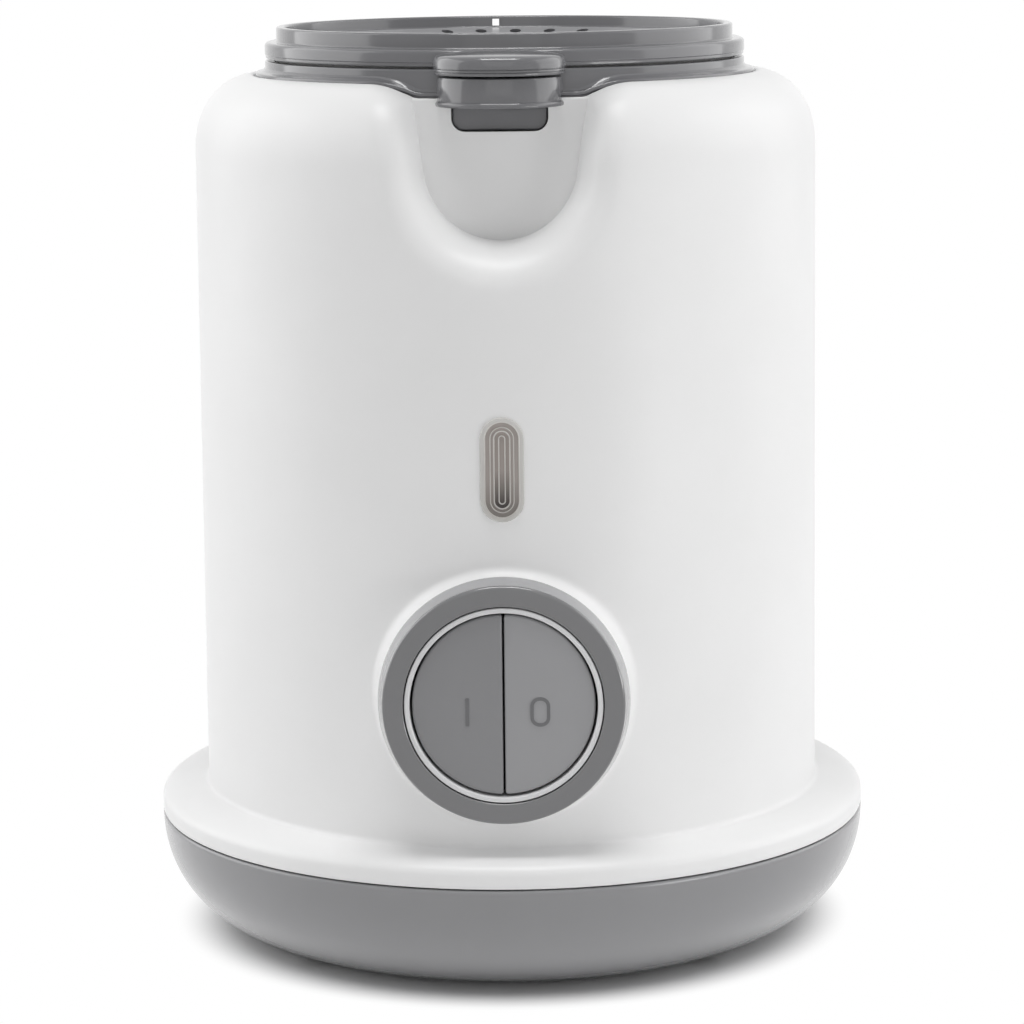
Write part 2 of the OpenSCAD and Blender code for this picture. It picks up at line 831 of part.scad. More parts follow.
module thermostat() {
    low = clamp_z + clamp_t + seat_fit;
    blade = [6, 0.8, 8];
    color(dark_col) {
        translate([0, 0, low]) cylinder(r = thermostat_r, h = tank_z - seat_fit - low);
        for (s = [-1, 1])
            translate([-blade[0] / 2, s * 3 - blade[1] / 2, low - blade[2]]) cube(blade);
    }
}

module thermal_fuse() {
    color(trim_col)
    translate([-fuse_l / 2, fuse_y, plate_z - seat_fit - fuse_r]) rotate([0, 90, 0])
        cylinder(r = fuse_r, h = fuse_l);
}

module fuse_clip() {
    clip_w = 6;
    clip_t = 0.8;
    fit = fuse_r + seat_fit;
    color(metal_col)
    difference() {
        union() {
            translate([-clip_w / 2, fuse_y, plate_z - seat_fit - fuse_r]) rotate([0, 90, 0])
                cylinder(r = fit + clip_t, h = clip_w);
            translate([-clip_w / 2, fuse_y - fit - clip_foot, plate_z - seat_fit - clip_t])
                cube([clip_w, fit + clip_foot, clip_t]);
        }
        translate([-clip_w, fuse_y, plate_z - seat_fit - fuse_r]) rotate([0, 90, 0])
            cylinder(r = fit, h = 2 * clip_w);
        translate([-clip_w, fuse_y - fit - 2 * clip_foot, plate_z - seat_fit])
            cube([2 * clip_w, 4 * clip_foot, 2 * clip_foot]);
    }
}

module button_bezel() {
    color(grey_col)
    facing_front(button_h) rotate_extrude() polygon(concat(
        [[sleeve_in_r, sleeve_back], [sleeve_out_r, sleeve_back], [sleeve_out_r, bezel_back],
            [bezel_root_r, bezel_back]],
        bow([bezel_r - bezel_edge, bezel_out - bezel_edge], [bezel_edge, bezel_edge], 0, 90),
        [[sleeve_in_r + 0.3, bezel_out], [sleeve_in_r, bezel_out - 0.3]]
    ));
}

module trim_ring() {
    color(trim_col)
    facing_front(button_h) rotate_extrude() polygon([
        [sleeve_in_r - seat_fit - trim_w, trim_back], [sleeve_in_r - seat_fit, trim_back],
        [sleeve_in_r - seat_fit, trim_out - 0.3], [sleeve_in_r - seat_fit - 0.3, trim_out],
        [sleeve_in_r - seat_fit - trim_w + 0.4, trim_out],
        [sleeve_in_r - seat_fit - trim_w, trim_out - 0.4]
    ]);
}

module key_frame() {
    leg_r = 2;
    color(dark_col)
    facing_front(button_h) difference() {
        union() {
            translate([0, 0, frame_back]) cylinder(r = sleeve_in_r - seat_fit, h = frame_t);
            for (a = [45 : 90 : 315])
                rotate(a) translate([sleeve_in_r - leg_r - 1, 0, board_out + seat_fit])
                    cylinder(r = leg_r, h = frame_back - board_out);
        }
        for (s = [-1, 1])
            translate([s * plunger_x, 0, frame_back - overcut])
                cylinder(r = plunger_r + run_fit, h = frame_t + 2 * overcut);
    }
}

// One half-round key, open at the back, with a flange behind the trim ring
module key(side) {
    edge = 0.6;
    outline = [[key_flange_r, key_back], [key_flange_r, key_flange_out], [key_r, key_flange_out],
        [key_r, key_out - edge], [key_r - edge, key_out], [0, key_out]];
    facing_front(button_h) {
        intersection() {
            translate([side > 0 ? key_gap / 2 : -key_gap / 2 - 2 * key_r, -2 * key_r, 0])
                cube([2 * key_r, 4 * key_r, 2 * bezel_out]);
            union() {
                rotate_extrude() polygon(concat(outline, [[0, key_out - key_wall],
                    [key_r - key_wall, key_out - key_wall], [key_r - key_wall, key_back]]));
                intersection() {
                    rotate_extrude() polygon(concat(outline, [[0, key_back]]));
                    translate([-key_gap / 2 - key_wall, -2 * key_r, 0])
                        cube([key_gap + 2 * key_wall, 4 * key_r, 2 * bezel_out]);
                }
            }
        }
        translate([side * plunger_x, 0, plunger_back])
            cylinder(r = plunger_r, h = key_out - key_wall / 2 - plunger_back);
    }
}

module on_key() {
    color(grey_col) key(-1);
}

module off_key() {
    color(grey_col) key(1);
}

module key_spring(side) {
    color(metal_col)
    facing_front(button_h) translate([side * plunger_x, 0, frame_out + seat_fit])
        tube(spring_out_r, spring_in_r, key_out - key_wall - frame_out - 2 * seat_fit);
}

module on_key_spring() {
    key_spring(-1);
}

module off_key_spring() {
    key_spring(1);
}

module control_board() {
    color(board_col)
    facing_front(button_h) difference() {
        translate([-board_w / 2, -board_h / 2, board_back]) cube([board_w, board_h, board_t]);
        board_hole_places()
            translate([0, 0, board_back - overcut])
                cylinder(r = small_screw_r + seat_fit, h = board_t + 2 * overcut);
    }
}

module key_switches() {
    color(dark_col)
    facing_front(button_h) for (s = [-1, 1])
        translate([s * plunger_x, 0, board_out]) {
            translate([-switch_w / 2, -switch_w / 2, 0]) cube([switch_w, switch_w, switch_t * 0.7]);
            cylinder(r = plunger_r - 0.6, h = switch_t);
        }
}

module relay() {
    color(dark_col)
    facing_front(button_h)
        translate([-parts_x - relay_size[0] / 2, -parts_drop - relay_size[1] / 2, board_back - relay_size[2]])
            cube(relay_size);
}

module supply_capacitor() {
    color(dark_col)
    facing_front(button_h)
        translate([parts_x, -parts_drop, board_back - capacitor_l])
            cylinder(r = capacitor_r, h = capacitor_l);
}

module board_screws() {
    color(metal_col) {
        facing_front(button_h) board_hole_places()
            translate([0, 0, board_back - thread_fit])
                screw(small_screw_r, small_screw_l, small_head_r, small_head_t);
        facing_front(lamp_h) lamp_hole_places()
            translate([0, 0, lamp_board_out - board_t - thread_fit])
                screw(small_screw_r, small_screw_l, small_head_r, small_head_t);
    }
}

module indicator_lens() {
    color([0.85, 0.85, 0.82, 0.6]) {
        intersection() {
            facing_front(lamp_h) translate([0, 0, lens_flange_out - overcut])
                pill(lens_r, lens_half, body_r);
            translate([0, 0, shell_z]) cylinder(r = body_r_at(lamp_h) + lens_proud, h = shell_top);
        }
        facing_front(lamp_h) translate([0, 0, lens_flange_out - lens_flange_t])
            pill(lens_r + lens_flange, lens_half, lens_flange_t);
    }
}

module lamp_holder() {
    low = lamp_board_out + seat_fit;
    h = lens_flange_out - lens_flange_t - seat_fit - low;
    color(dark_col)
    facing_front(lamp_h) translate([0, 0, low]) difference() {
        pill(lens_r + lens_flange, lens_half, h);
        translate([0, 0, -overcut]) pill(lens_r, lens_half, h + 2 * overcut);
    }
}

module lamp_board() {
    color(board_col)
    facing_front(lamp_h) difference() {
        translate([-lamp_board_w / 2, -lamp_board_half, lamp_board_out - board_t])
            cube([lamp_board_w, 2 * lamp_board_half, board_t]);
        lamp_hole_places()
            translate([0, 0, lamp_board_out - board_t - overcut])
                cylinder(r = small_screw_r + seat_fit, h = board_t + 2 * overcut);
    }
}

module indicator_lamp() {
    dome_out = lens_flange_out - lens_flange_t - 0.5 - lamp_r;
    color(trim_col)
    facing_front(lamp_h - lamp_drop) rotate_extrude() polygon(concat(
        [[0, lamp_board_out], [lamp_r, lamp_board_out]],
        bow([0, dome_out], [lamp_r, lamp_r], 0, 90)
    ));
}

module terminal_block() {
    screws = 3;
    pitch = block_size[0] / screws;
    color(dark_col)
    translate([-block_size[0] / 2, block_y - block_size[1] / 2, pan_floor]) difference() {
        cube(block_size);
        for (i = [0 : screws - 1])
            translate([pitch * (i + 0.5), block_size[1] / 2, block_size[2] * 0.4])
                cylinder(r = pitch * 0.25, h = block_size[2]);
    }
}

module cord_gland() {
    bush = inlet_r + inlet_wall;
    color(rubber_col)
    around([90], 0) translate([0, 0, inlet_h]) rotate([0, 90, 0]) difference() {
        union() {
            translate([0, 0, inlet_in]) cylinder(r = bush, h = inlet_out - inlet_in);
            translate([0, 0, inlet_out - inlet_flange_t])
                cylinder(r = inlet_flange_r, h = inlet_flange_t);
        }
        translate([0, 0, inlet_in - overcut]) cylinder(r = inlet_r, h = base_r);
    }
}

module lift_basket() {
    slot_low = basket_z + 16;
    slot_high = collar_low - 24;
    hole_ring = basket_r * 0.62;
    color(grey_col)
    difference() {
        union() {
            rotate_extrude() polygon(concat(
                [[0, basket_z]],
                bow([basket_out_r - corner_r, basket_z + corner_r], [corner_r, corner_r], 270, 360),
                [[basket_out_r, collar_low - collar_step], [collar_r, collar_low],
                    [collar_r, collar_z], [foot_flange_r, collar_z],
                    [foot_flange_r, collar_z + collar_foot_h * 0.6],
                    [collar_r, collar_z + collar_foot_h], [collar_r, collar_top],
                    [collar_in_r, collar_top], [collar_in_r, collar_low + 0.8],
                    [basket_r, collar_low - collar_step + 0.8]],
                bow([basket_out_r - corner_r, basket_z + corner_r],
                    [corner_r - basket_wall, corner_r - basket_wall], 360, 270),
                [[0, basket_z + basket_wall]]
            ));
            grip();
            apron();
            lug();
        }
        for (i = [0 : basket_slots - 1])
            rotate(360 * (i + 0.5) / basket_slots)
                translate([0, 0, (slot_low + slot_high) / 2]) rotate([90, 0, 0])
                    translate([0, 0, basket_r * 0.7])
                        pill(basket_slot_w / 2, (slot_high - slot_low - basket_slot_w) / 2, basket_r);
        around([for (i = [0 : basket_holes - 1]) 360 * i / basket_holes], hole_ring)
            translate([0, 0, basket_z - overcut])
                cylinder(r = basket_hole_r, h = basket_wall + 2 * overcut);
    }
}

// Grip at the front of the collar, with a lip along its lower edge
module grip() {
    difference() {
        union() {
            translate([0, 0, grip_z]) tongue(grip_w, grip_reach, grip_corner, grip_h);
            translate([0, 0, grip_z])
                tongue(grip_w + 2 * grip_lip_w, grip_reach + grip_lip_w, grip_corner + grip_lip_w, grip_lip_h);
        }
        translate([0, 0, grip_z - overcut])
            cylinder(r = collar_r - collar_wall / 2, h = grip_h + 2 * overcut);
        translate([0, 0, grip_z - overcut])
            cylinder(r = well_out_r + run_fit, h = scoop_edge_z + run_fit - grip_z + overcut);
    }
}

// Front of the collar's foot, which comes down to the edge of the scoop
module apron() {
    low = scoop_edge_z + run_fit;
    intersection() {
        translate([0, 0, low])
            tube(foot_flange_r, collar_r - collar_wall / 2, collar_z + collar_foot_h * 0.3 - low);
        translate([-scoop_r, -base_r, low - overcut]) cube([2 * scoop_r, base_r, shell_top]);
    }
}

// Lug that drops into the notch of the well
module lug() {
    intersection() {
        lug_form(0);
        translate([0, 0, lug_z])
            tube(lug_r, collar_r - collar_wall / 2, collar_z - lug_z);
    }
}

module steam_lid() {
    edge = 0.4;
    color(grey_col)
    difference() {
        union() {
            rotate_extrude() polygon([
                [0, lid_floor_z], [lid_seal_in_r, lid_floor_z], [lid_seal_in_r, flange_z],
                [collar_r - edge, flange_z], [collar_r, flange_z + edge],
                [collar_r, flange_top - 2 * edge], [collar_r - 2 * edge, flange_top],
                [rim_r, flange_top], [rim_r, rim_top - edge], [rim_r - edge, rim_top],
                [rim_r - rim_wall + edge, rim_top], [rim_r - rim_wall, rim_top - edge],
                [rim_r - rim_wall, lid_floor_z + lid_floor], [0, lid_floor_z + lid_floor]
            ]);
            tab();
        }
        for (i = [0 : vent_n - 1])
            rotate(360 * i / vent_n)
                translate([(vent_in_r + vent_out_r) / 2, 0, lid_floor_z - overcut]) rotate(90)
                    pill(vent_w / 2, (vent_out_r - vent_in_r - vent_w) / 2, lid_floor + 2 * overcut);
        translate([-notch_w / 2, rim_r - rim_wall - overcut, rim_top - notch_h])
            cube([notch_w, rim_wall + 2 * overcut, notch_h + overcut]);
        translate([0, 0, flange_z - overcut])
            tube(lid_seal_r - seal_bead_inset + seat_fit / 2, lid_seal_in_r + seal_bead_inset - seat_fit / 2,
                seal_bead_h + seat_fit + overcut);
    }
}

// Soft ring under the lid, its bead pressed into the lid's groove
module lid_seal() {
    color(rubber_col)
    rotate_extrude() polygon([
        [lid_seal_in_r, flange_z - lid_seal_h], [lid_seal_r, flange_z - lid_seal_h], [lid_seal_r, flange_z],
        [lid_seal_r - seal_bead_inset, flange_z], [lid_seal_r - seal_bead_inset, flange_z + seal_bead_h],
        [lid_seal_in_r + seal_bead_inset, flange_z + seal_bead_h], [lid_seal_in_r + seal_bead_inset, flange_z],
        [lid_seal_in_r, flange_z]
    ]);
}

// Tab that lies over the basket's grip
module tab() {
    difference() {
        translate([0, 0, tab_z]) tongue(tab_w, tab_reach, tab_corner, tab_h);
        translate([0, 0, tab_z - overcut]) cylinder(r = rim_r - rim_wall / 2, h = tab_h + 2 * overcut);
        translate([0, 0, tab_z - overcut]) cylinder(r = collar_r + run_fit, h = flange_z - tab_z + overcut);
    }
}

outer_shell();
base_pan();
rubber_feet();
base_screws();
water_tank();
tank_seal();
heating_plate();
heating_element();
heater_clamp();
clamp_screws();
thermostat();
thermal_fuse();
fuse_clip();
button_bezel();
trim_ring();
key_frame();
on_key();
off_key();
on_key_spring();
off_key_spring();
control_board();
key_switches();
relay();
supply_capacitor();
board_screws();
indicator_lens();
lamp_holder();
lamp_board();
indicator_lamp();
terminal_block();
cord_gland();
lift_basket();
steam_lid();
lid_seal();
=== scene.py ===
import bpy, bmesh, math
from mathutils import Matrix, Vector


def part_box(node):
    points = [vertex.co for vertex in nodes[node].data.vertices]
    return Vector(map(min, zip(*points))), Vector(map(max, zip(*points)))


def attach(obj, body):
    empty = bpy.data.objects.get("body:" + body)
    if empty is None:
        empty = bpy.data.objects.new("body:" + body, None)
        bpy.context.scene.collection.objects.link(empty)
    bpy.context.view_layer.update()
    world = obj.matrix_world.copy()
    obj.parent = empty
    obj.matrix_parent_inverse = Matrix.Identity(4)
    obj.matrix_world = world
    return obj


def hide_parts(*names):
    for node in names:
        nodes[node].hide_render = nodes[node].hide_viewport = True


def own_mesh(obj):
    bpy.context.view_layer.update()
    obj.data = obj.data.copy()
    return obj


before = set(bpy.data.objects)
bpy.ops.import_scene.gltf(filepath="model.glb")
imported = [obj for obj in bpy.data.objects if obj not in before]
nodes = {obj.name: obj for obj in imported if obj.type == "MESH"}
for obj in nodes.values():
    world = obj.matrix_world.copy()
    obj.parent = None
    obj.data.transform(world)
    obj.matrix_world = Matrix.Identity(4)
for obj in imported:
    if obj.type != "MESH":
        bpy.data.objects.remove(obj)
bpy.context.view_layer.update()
scene = bpy.context.scene
mm = 0.001
sliver = 1e-7  # metres, anything thinner is dissolved
sharpAngle = 35  # degrees, steeper edges stay sharp
print("frame loaded:", len(nodes), "nodes")


# small helpers for outlines and meshes, all in millimetres

def between(a, b, steps):  # even steps, both ends included
    return [a + (b - a) * k / steps for k in range(steps + 1)]


def fullTurn(steps):  # angles once round
    return [2 * math.pi * k / steps for k in range(steps)]


def quarterTurn(steps):  # angles over a right angle, both ends included
    return [math.pi / 2 * k / steps for k in range(steps + 1)]


def turned(u, v, a):
    return (u * math.cos(a) - v * math.sin(a), u * math.sin(a) + v * math.cos(a))


def spun(line, a):  # outline of (radius, height) at an angle from the front
    return [(r * math.sin(a), -r * math.cos(a), z) for r, z in line]


def soften(corners, steps=5):  # corners as (a, b, radius), closed
    out, count = [], len(corners)
    for i, (a, b, rad) in enumerate(corners):
        spot = Vector((a, b))
        if rad <= 0:
            out.append((a, b))
            continue
        back = (Vector(corners[i - 1][:2]) - spot).normalized()
        ahead = (Vector(corners[(i + 1) % count][:2]) - spot).normalized()
        half = back.angle(ahead) / 2
        reach = rad / math.tan(half)
        hub = spot + (back + ahead).normalized() * (rad / math.sin(half))
        first, last = spot + back * reach - hub, spot + ahead * reach - hub
        start = math.atan2(first.y, first.x)
        turn = math.atan2(last.y, last.x) - start
        turn = (turn + math.pi) % (2 * math.pi) - math.pi
        for k in range(steps + 1):
            ang = start + turn * k / steps
            out.append((hub.x + rad * math.cos(ang), hub.y + rad * math.sin(ang)))
    return out


def pillLine(r, half, steps=12):  # upright pill as (x, z)
    turns = [math.pi * k / steps for k in range(steps + 1)]
    top = [(r * math.cos(t), half + r * math.sin(t)) for t in turns]
    return top + [(-x, -z) for x, z in top]


def roundBox(w, h, r, steps=10):
    return soften([(-w / 2, -h / 2, r), (w / 2, -h / 2, r), (w / 2, h / 2, r), (-w / 2, h / 2, r)], steps)


def tubLine(half, low, top, corner):  # upright outline with round lower corners
    return soften([(-half, low, corner), (half, low, corner), (half, top, 0), (-half, top, 0)], 8)


def shadeEdges(bm, sharpDeg):
    for face in bm.faces:
        face.smooth = True
    for edge in bm.edges:
        edge.smooth = edge.calc_face_angle(0) < math.radians(sharpDeg)


def finishMesh(bm, name, sharpDeg=sharpAngle, weld=2e-6):  # draft to a clean object, weld in metres
    bmesh.ops.remove_doubles(bm, verts=bm.verts[:], dist=weld)
    bmesh.ops.dissolve_degenerate(bm, edges=bm.edges[:], dist=sliver)
    bmesh.ops.recalc_face_normals(bm, faces=bm.faces[:])
    shadeEdges(bm, sharpDeg)
    mesh = bpy.data.meshes.new(name)
    bm.to_mesh(mesh)
    bm.free()
    made = bpy.data.objects.new(name, mesh)
    scene.collection.objects.link(made)
    return made


def meshFrom(points, faces):  # millimetres to a draft in metres
    mesh = bpy.data.meshes.new("draft")
    mesh.from_pydata([(x * mm, y * mm, z * mm) for x, y, z in points], [], faces)
    bm = bmesh.new()
    bm.from_mesh(mesh)
    bpy.data.meshes.remove(mesh)
    return bm


def loft(rings, caps=True):  # rings of equal length, one after another
    count, faces = len(rings[0]), []
    for i in range(len(rings) - 1):
        for k in range(count):
            n = (k + 1) % count
            faces.append((i * count + k, i * count + n, (i + 1) * count + n, (i + 1) * count + k))
    if caps:
        faces.append(tuple(range(count)))
        faces.append(tuple(range((len(rings) - 1) * count, len(rings) * count)))
    return meshFrom([p for ring in rings for p in ring], faces)


def lathe(outline, steps=192, height=None):  # about +Z, or about the front axis at a height
    points, faces, count = [], [], len(outline)
    for a in fullTurn(steps):
        if height is None:
            points += spun(outline, a)
        else:
            points += [(r * math.sin(a), -h, height + r * math.cos(a)) for r, h in outline]
    for i in range(steps):
        n = (i + 1) % steps
        for k in range(count):
            m = (k + 1) % count
            faces.append((i * count + k, n * count + k, n * count + m, i * count + m))
    return meshFrom(points, faces)


def rod(a, b, r, ends, steps=48, upright=False):  # along Y at (x, z), or upright at (x, y)
    rim = [(a + r * math.cos(t), b + r * math.sin(t)) for t in fullTurn(steps)]
    return loft([[(u, v, end) if upright else (u, end, v) for u, v in rim] for end in ends])


def joinAll(drafts):  # several drafts as one
    whole = bmesh.new()
    for draft in drafts:
        mesh = bpy.data.meshes.new("draft")
        draft.to_mesh(mesh)
        draft.free()
        whole.from_mesh(mesh)
        bpy.data.meshes.remove(mesh)
    return whole


def mergeInto(body, *others):  # finished objects as one, the others are used up
    whole = bmesh.new()
    for piece in (body, *others):
        whole.from_mesh(piece.data)
    whole.to_mesh(body.data)
    whole.free()
    for piece in others:
        bpy.data.objects.remove(piece)
    return body


def cutFrom(body, cutter):  # clean cut, the cutter is used up
    mod = body.modifiers.new("cut", "BOOLEAN")
    mod.operation, mod.solver, mod.object = "DIFFERENCE", "MANIFOLD", cutter
    bpy.context.view_layer.update()
    mesh = bpy.data.meshes.new_from_object(body.evaluated_get(bpy.context.evaluated_depsgraph_get()))
    body.modifiers.clear()
    body.data = mesh
    bpy.data.objects.remove(cutter)
    bm = bmesh.new()
    bm.from_mesh(mesh)
    bmesh.ops.dissolve_degenerate(bm, edges=bm.edges[:], dist=sliver)
    shadeEdges(bm, sharpAngle)
    bm.to_mesh(mesh)
    bm.free()
    return body


# helpers for node trees

def linear(*colour):  # screen colour from 0 to 255
    parts = [c / 255 for c in colour]
    return tuple(c / 12.92 if c <= 0.04045 else ((c + 0.055) / 1.055) ** 2.4 for c in parts) + (1,)


def startFinish(name):
    mat = bpy.data.materials.new(name)
    mat.use_nodes = True
    tree = mat.node_tree
    return mat, tree, tree.nodes["Principled BSDF"], tree.nodes.new("ShaderNodeTexCoord").outputs["Object"]


def noiseOver(tree, spot, scale, detail):
    node = tree.nodes.new("ShaderNodeTexNoise")
    node.inputs["Scale"].default_value = scale
    node.inputs["Detail"].default_value = detail
    tree.links.new(spot, node.inputs["Vector"])
    return node.outputs["Fac"]


def mapRange(tree, value, start, end):
    node = tree.nodes.new("ShaderNodeMapRange")
    for name, number in zip(("From Min", "From Max", "To Min", "To Max"), (*start, *end)):
        node.inputs[name].default_value = number
    tree.links.new(value, node.inputs["Value"])
    return node


def colourRamp(tree, value, stops, shader):  # two stops as (place, colour)
    ramp = tree.nodes.new("ShaderNodeValToRGB")
    for k, (at, colour) in enumerate(stops):
        stop = ramp.color_ramp.elements[k]
        stop.position, stop.color = at, linear(*colour)
    tree.links.new(value, ramp.inputs["Fac"])
    tree.links.new(ramp.outputs["Color"], shader.inputs["Base Color"])


def bumpFrom(tree, height, strength, depth, shader):
    bump = tree.nodes.new("ShaderNodeBump")
    bump.inputs["Strength"].default_value = strength
    bump.inputs["Distance"].default_value = depth
    tree.links.new(height, bump.inputs["Height"])
    tree.links.new(bump.outputs["Normal"], shader.inputs["Normal"])


def combine(tree, operation, first, second):
    node = tree.nodes.new("ShaderNodeMath")
    node.operation = operation
    tree.links.new(first, node.inputs[0])
    tree.links.new(second, node.inputs[1])
    return node.outputs[0]


def mixInto(tree, share, first, second, output):
    mix = tree.nodes.new("ShaderNodeMixShader")
    tree.links.new(share, mix.inputs[0])
    tree.links.new(first.outputs[0], mix.inputs[1])
    tree.links.new(second.outputs[0], mix.inputs[2])
    tree.links.new(mix.outputs[0], tree.nodes[output].inputs["Surface"])


# finishes

plainLook = {  # used where a finish has no value of its own, grain depth in metres
    "ior": 1.47, "metal": 0, "coat": 0, "coatRough": 0.1, "spread": (0.3, 0.7), "grain": 0.03, "grainDepth": 0.00004,
    "cloudScale": 28, "cloudDetail": 4, "glossScale": 140, "glossDetail": 3, "grainScale": 1800, "grainDetail": 2,
}
finishLooks = {  # colour, its shade, roughness, and what differs from the plain look
    "whiteShell": ((243, 243, 243), (240, 240, 240), (0.36, 0.42), {"grain": 0.08}),
    "panGrey": ((141, 141, 143), (138, 138, 140), (0.24, 0.26), {"coat": 0.6, "coatRough": 0.2}),
    "lidGrey": ((107, 107, 110), (104, 104, 107), (0.15, 0.17), {"coat": 0.5}),
    # painted reflection: a paler copy of the lid grey for the lid's up-facing floor, in place of the top light it
    # reflects
    "lidFloorSheen": ((172, 172, 174), (168, 168, 170), (0.15, 0.17), {"coat": 0.5}),
    "bezelGrey": ((106, 106, 108), (102, 102, 104), (0.17, 0.18), {"ior": 1.6, "coat": 1}),
    # painted reflection: a paler copy of the bezel grey for the bezel's side wall, in place of the white it reflects
    # at grazing angles
    "bezelSideSheen": ((166, 166, 168), (162, 162, 164), (0.17, 0.18), {"ior": 1.6, "coat": 1}),
    "keyGrey": ((140, 140, 142), (137, 137, 139), (0.24, 0.27), {}),
    # painted light: a lighter copy of the key grey for the off key, in place of the stronger light from the right
    "keyRightLit": ((158, 158, 160), (155, 155, 157), (0.24, 0.27), {}),
    "markGrey": ((112, 112, 114), (108, 108, 110), (0.45, 0.5), {"grain": 0.05}),
    "trimPale": ((226, 226, 227), (220, 220, 221), (0.26, 0.32), {"grain": 0.05}),
    "sealPale": ((206, 206, 204), (198, 198, 196), (0.5, 0.6), {"grain": 0.2, "grainScale": 900}),
    "darkPlastic": ((52, 52, 54), (46, 46, 48), (0.4, 0.5), {"grain": 0.2}),
    "boardGreen": ((38, 92, 62), (30, 80, 52), (0.3, 0.4), {"grain": 0.1, "cloudScale": 200}),
    "ceramic": ((232, 230, 224), (222, 220, 214), (0.3, 0.4), {"grain": 0.1}),
    "rubberBlack": ((34, 34, 35), (26, 26, 27), (0.62, 0.74), {"grain": 0.4, "grainScale": 900}),
    "steel": ((200, 201, 203), (186, 187, 190), (0.2, 0.32), {"metal": 1, "grain": 0.1, "glossScale": 300}),
    "tankSteel": ((206, 206, 207), (196, 196, 198), (0.26, 0.36), {"metal": 1, "grain": 0.15, "glossScale": 220}),
    "castAlloy": ((190, 191, 194), (172, 173, 177), (0.38, 0.5), {"metal": 1, "grain": 0.5, "grainScale": 700}),
    "elementSteel": ((120, 112, 104), (92, 84, 78), (0.35, 0.5), {"metal": 1, "grain": 0.2}),
}


def plasticFinish(name, colour, shade, rough, own):  # moulded or metal: faint clouding, uneven gloss, fine grain
    look = {**plainLook, **own}
    mat, tree, shader, spot = startFinish(name)
    shader.inputs["IOR"].default_value = look["ior"]
    shader.inputs["Metallic"].default_value = look["metal"]
    shader.inputs["Coat Weight"].default_value = look["coat"]
    shader.inputs["Coat Roughness"].default_value = look["coatRough"]
    cloud = noiseOver(tree, spot, look["cloudScale"], look["cloudDetail"])
    colourRamp(tree, cloud, zip(look["spread"], (shade, colour)), shader)
    gloss = noiseOver(tree, spot, look["glossScale"], look["glossDetail"])
    span = mapRange(tree, gloss, look["spread"], rough)
    tree.links.new(span.outputs["Result"], shader.inputs["Roughness"])
    grain = noiseOver(tree, spot, look["grainScale"], look["grainDetail"])
    bumpFrom(tree, grain, look["grain"], look["grainDepth"], shader)
    return mat


finishes = {name: plasticFinish(name, *look) for name, look in finishLooks.items()}
print("finishes ready:", len(finishes))


def place(piece, body, slotName, looks, *replaced):
    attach(piece, body)
    if replaced:
        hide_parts(*replaced)
    piece.data.materials.clear()
    for look in looks:
        piece.data.materials.append(finishes[look])
    return piece


# outer shell: one skin from its top edge over the shoulder and scoop down to the seam

shellForm = {
    "bodyR": 69.5, "draft": 0.5, "shoulderZ": 176.4, "topZ": 193.0, "shoulderIn": 54.9, "full": 2.15, "topTurn": 83,
    "skirtR": 80.0, "seamZ": 27.1, "seamEdge": (0.4, 0.12), "lipZ": 29.8, "domeW": 9.3, "domeH": 3.5,
    "domeFull": 2.3, "fillet": 1.0,
    "wallR": 56.0, "edgeZ": 190.1, "edgeR": 0.5, "dipFrom": 180.0, "thick": 2.0, "underIn": 0.5,
    "scoopThick": 1.0, "thinTo": 57.0, "thinFade": 3.0, "thinEnd": 57.2,
    "scoopR": 16.2, "scoopZ": 176.8, "lean": 7.0, "leanFade": 8, "lip": 9.5,
    "bossR": 25.5, "bossOut": 72.0, "bossSlope": 2.0, "bossSide": 1.1, "bossReach": 45, "bossBlend": 2.8,
    "buttonZ": 65.75, "holeR": 23.4, "lampZ": 114.2, "lampR": 4.1, "lampHalf": 6.25,
    "topEdge": [(-1.2, -2.0), (-1.2, -0.9), (-1.1, -0.4), (-0.85, -0.12), (-0.45, 0.02)],  # from inside out
}
shellMesh = {  # rows and columns of the skin, and the heights that divide its front
    "shoulderRows": 34, "wallRows": 4, "plainRows": 5, "lampRows": 16, "keyRows": 40, "filletRows": 7,
    "domeRows": 18, "seamRows": 3, "frontTurn": 40, "backCols": 112, "sideCols": 10, "lipCols": 22, "wallCols": 26,
    "arcSteps": 96, "sideSteps": 18, "rectZ": 143.0, "lampTop": 132.0, "lampLow": 100.0, "keyClear": 0.3,
    "lampCol": 24, "keyCol": 4, "lampRings": 10, "lampEase": 1.0, "keyRings": 34, "keyEase": 1.5,
    "lampBox": (10, 16), "lampNear": (0.42, 0.66),  # the lamp's field, and the share of it close round the hole
}
sf = shellForm
lean = math.radians(sf["lean"])
sideZ = sf["scoopZ"] - sf["scoopR"] * math.sin(lean)  # where the round bottom of the scoop meets its sides
skirtTop = sf["lipZ"] + sf["domeH"]
shoulderW = sf["bodyR"] - sf["draft"] - sf["shoulderIn"]
shoulderH = sf["topZ"] - sf["shoulderZ"]


def wallRadius(z):
    return sf["bodyR"] - sf["draft"] * (z - skirtTop) / (sf["shoulderZ"] - skirtTop)


def shoulderSpot(ang):
    e = 2 / sf["full"]
    return (sf["shoulderIn"] + shoulderW * math.cos(ang) ** e, sf["shoulderZ"] + shoulderH * math.sin(ang) ** e)


def radiusAt(z):
    if z <= sf["shoulderZ"]:
        return wallRadius(z)
    lift = min((z - sf["shoulderZ"]) / shoulderH, 0.9999)  # the power needs a rest above 0
    return sf["shoulderIn"] + shoulderW * (1 - lift ** sf["full"]) ** (1 / sf["full"])


def softMax(a, b, blend):
    h = max(blend - abs(a - b), 0) / blend
    return max(a, b) + h * h * blend / 4


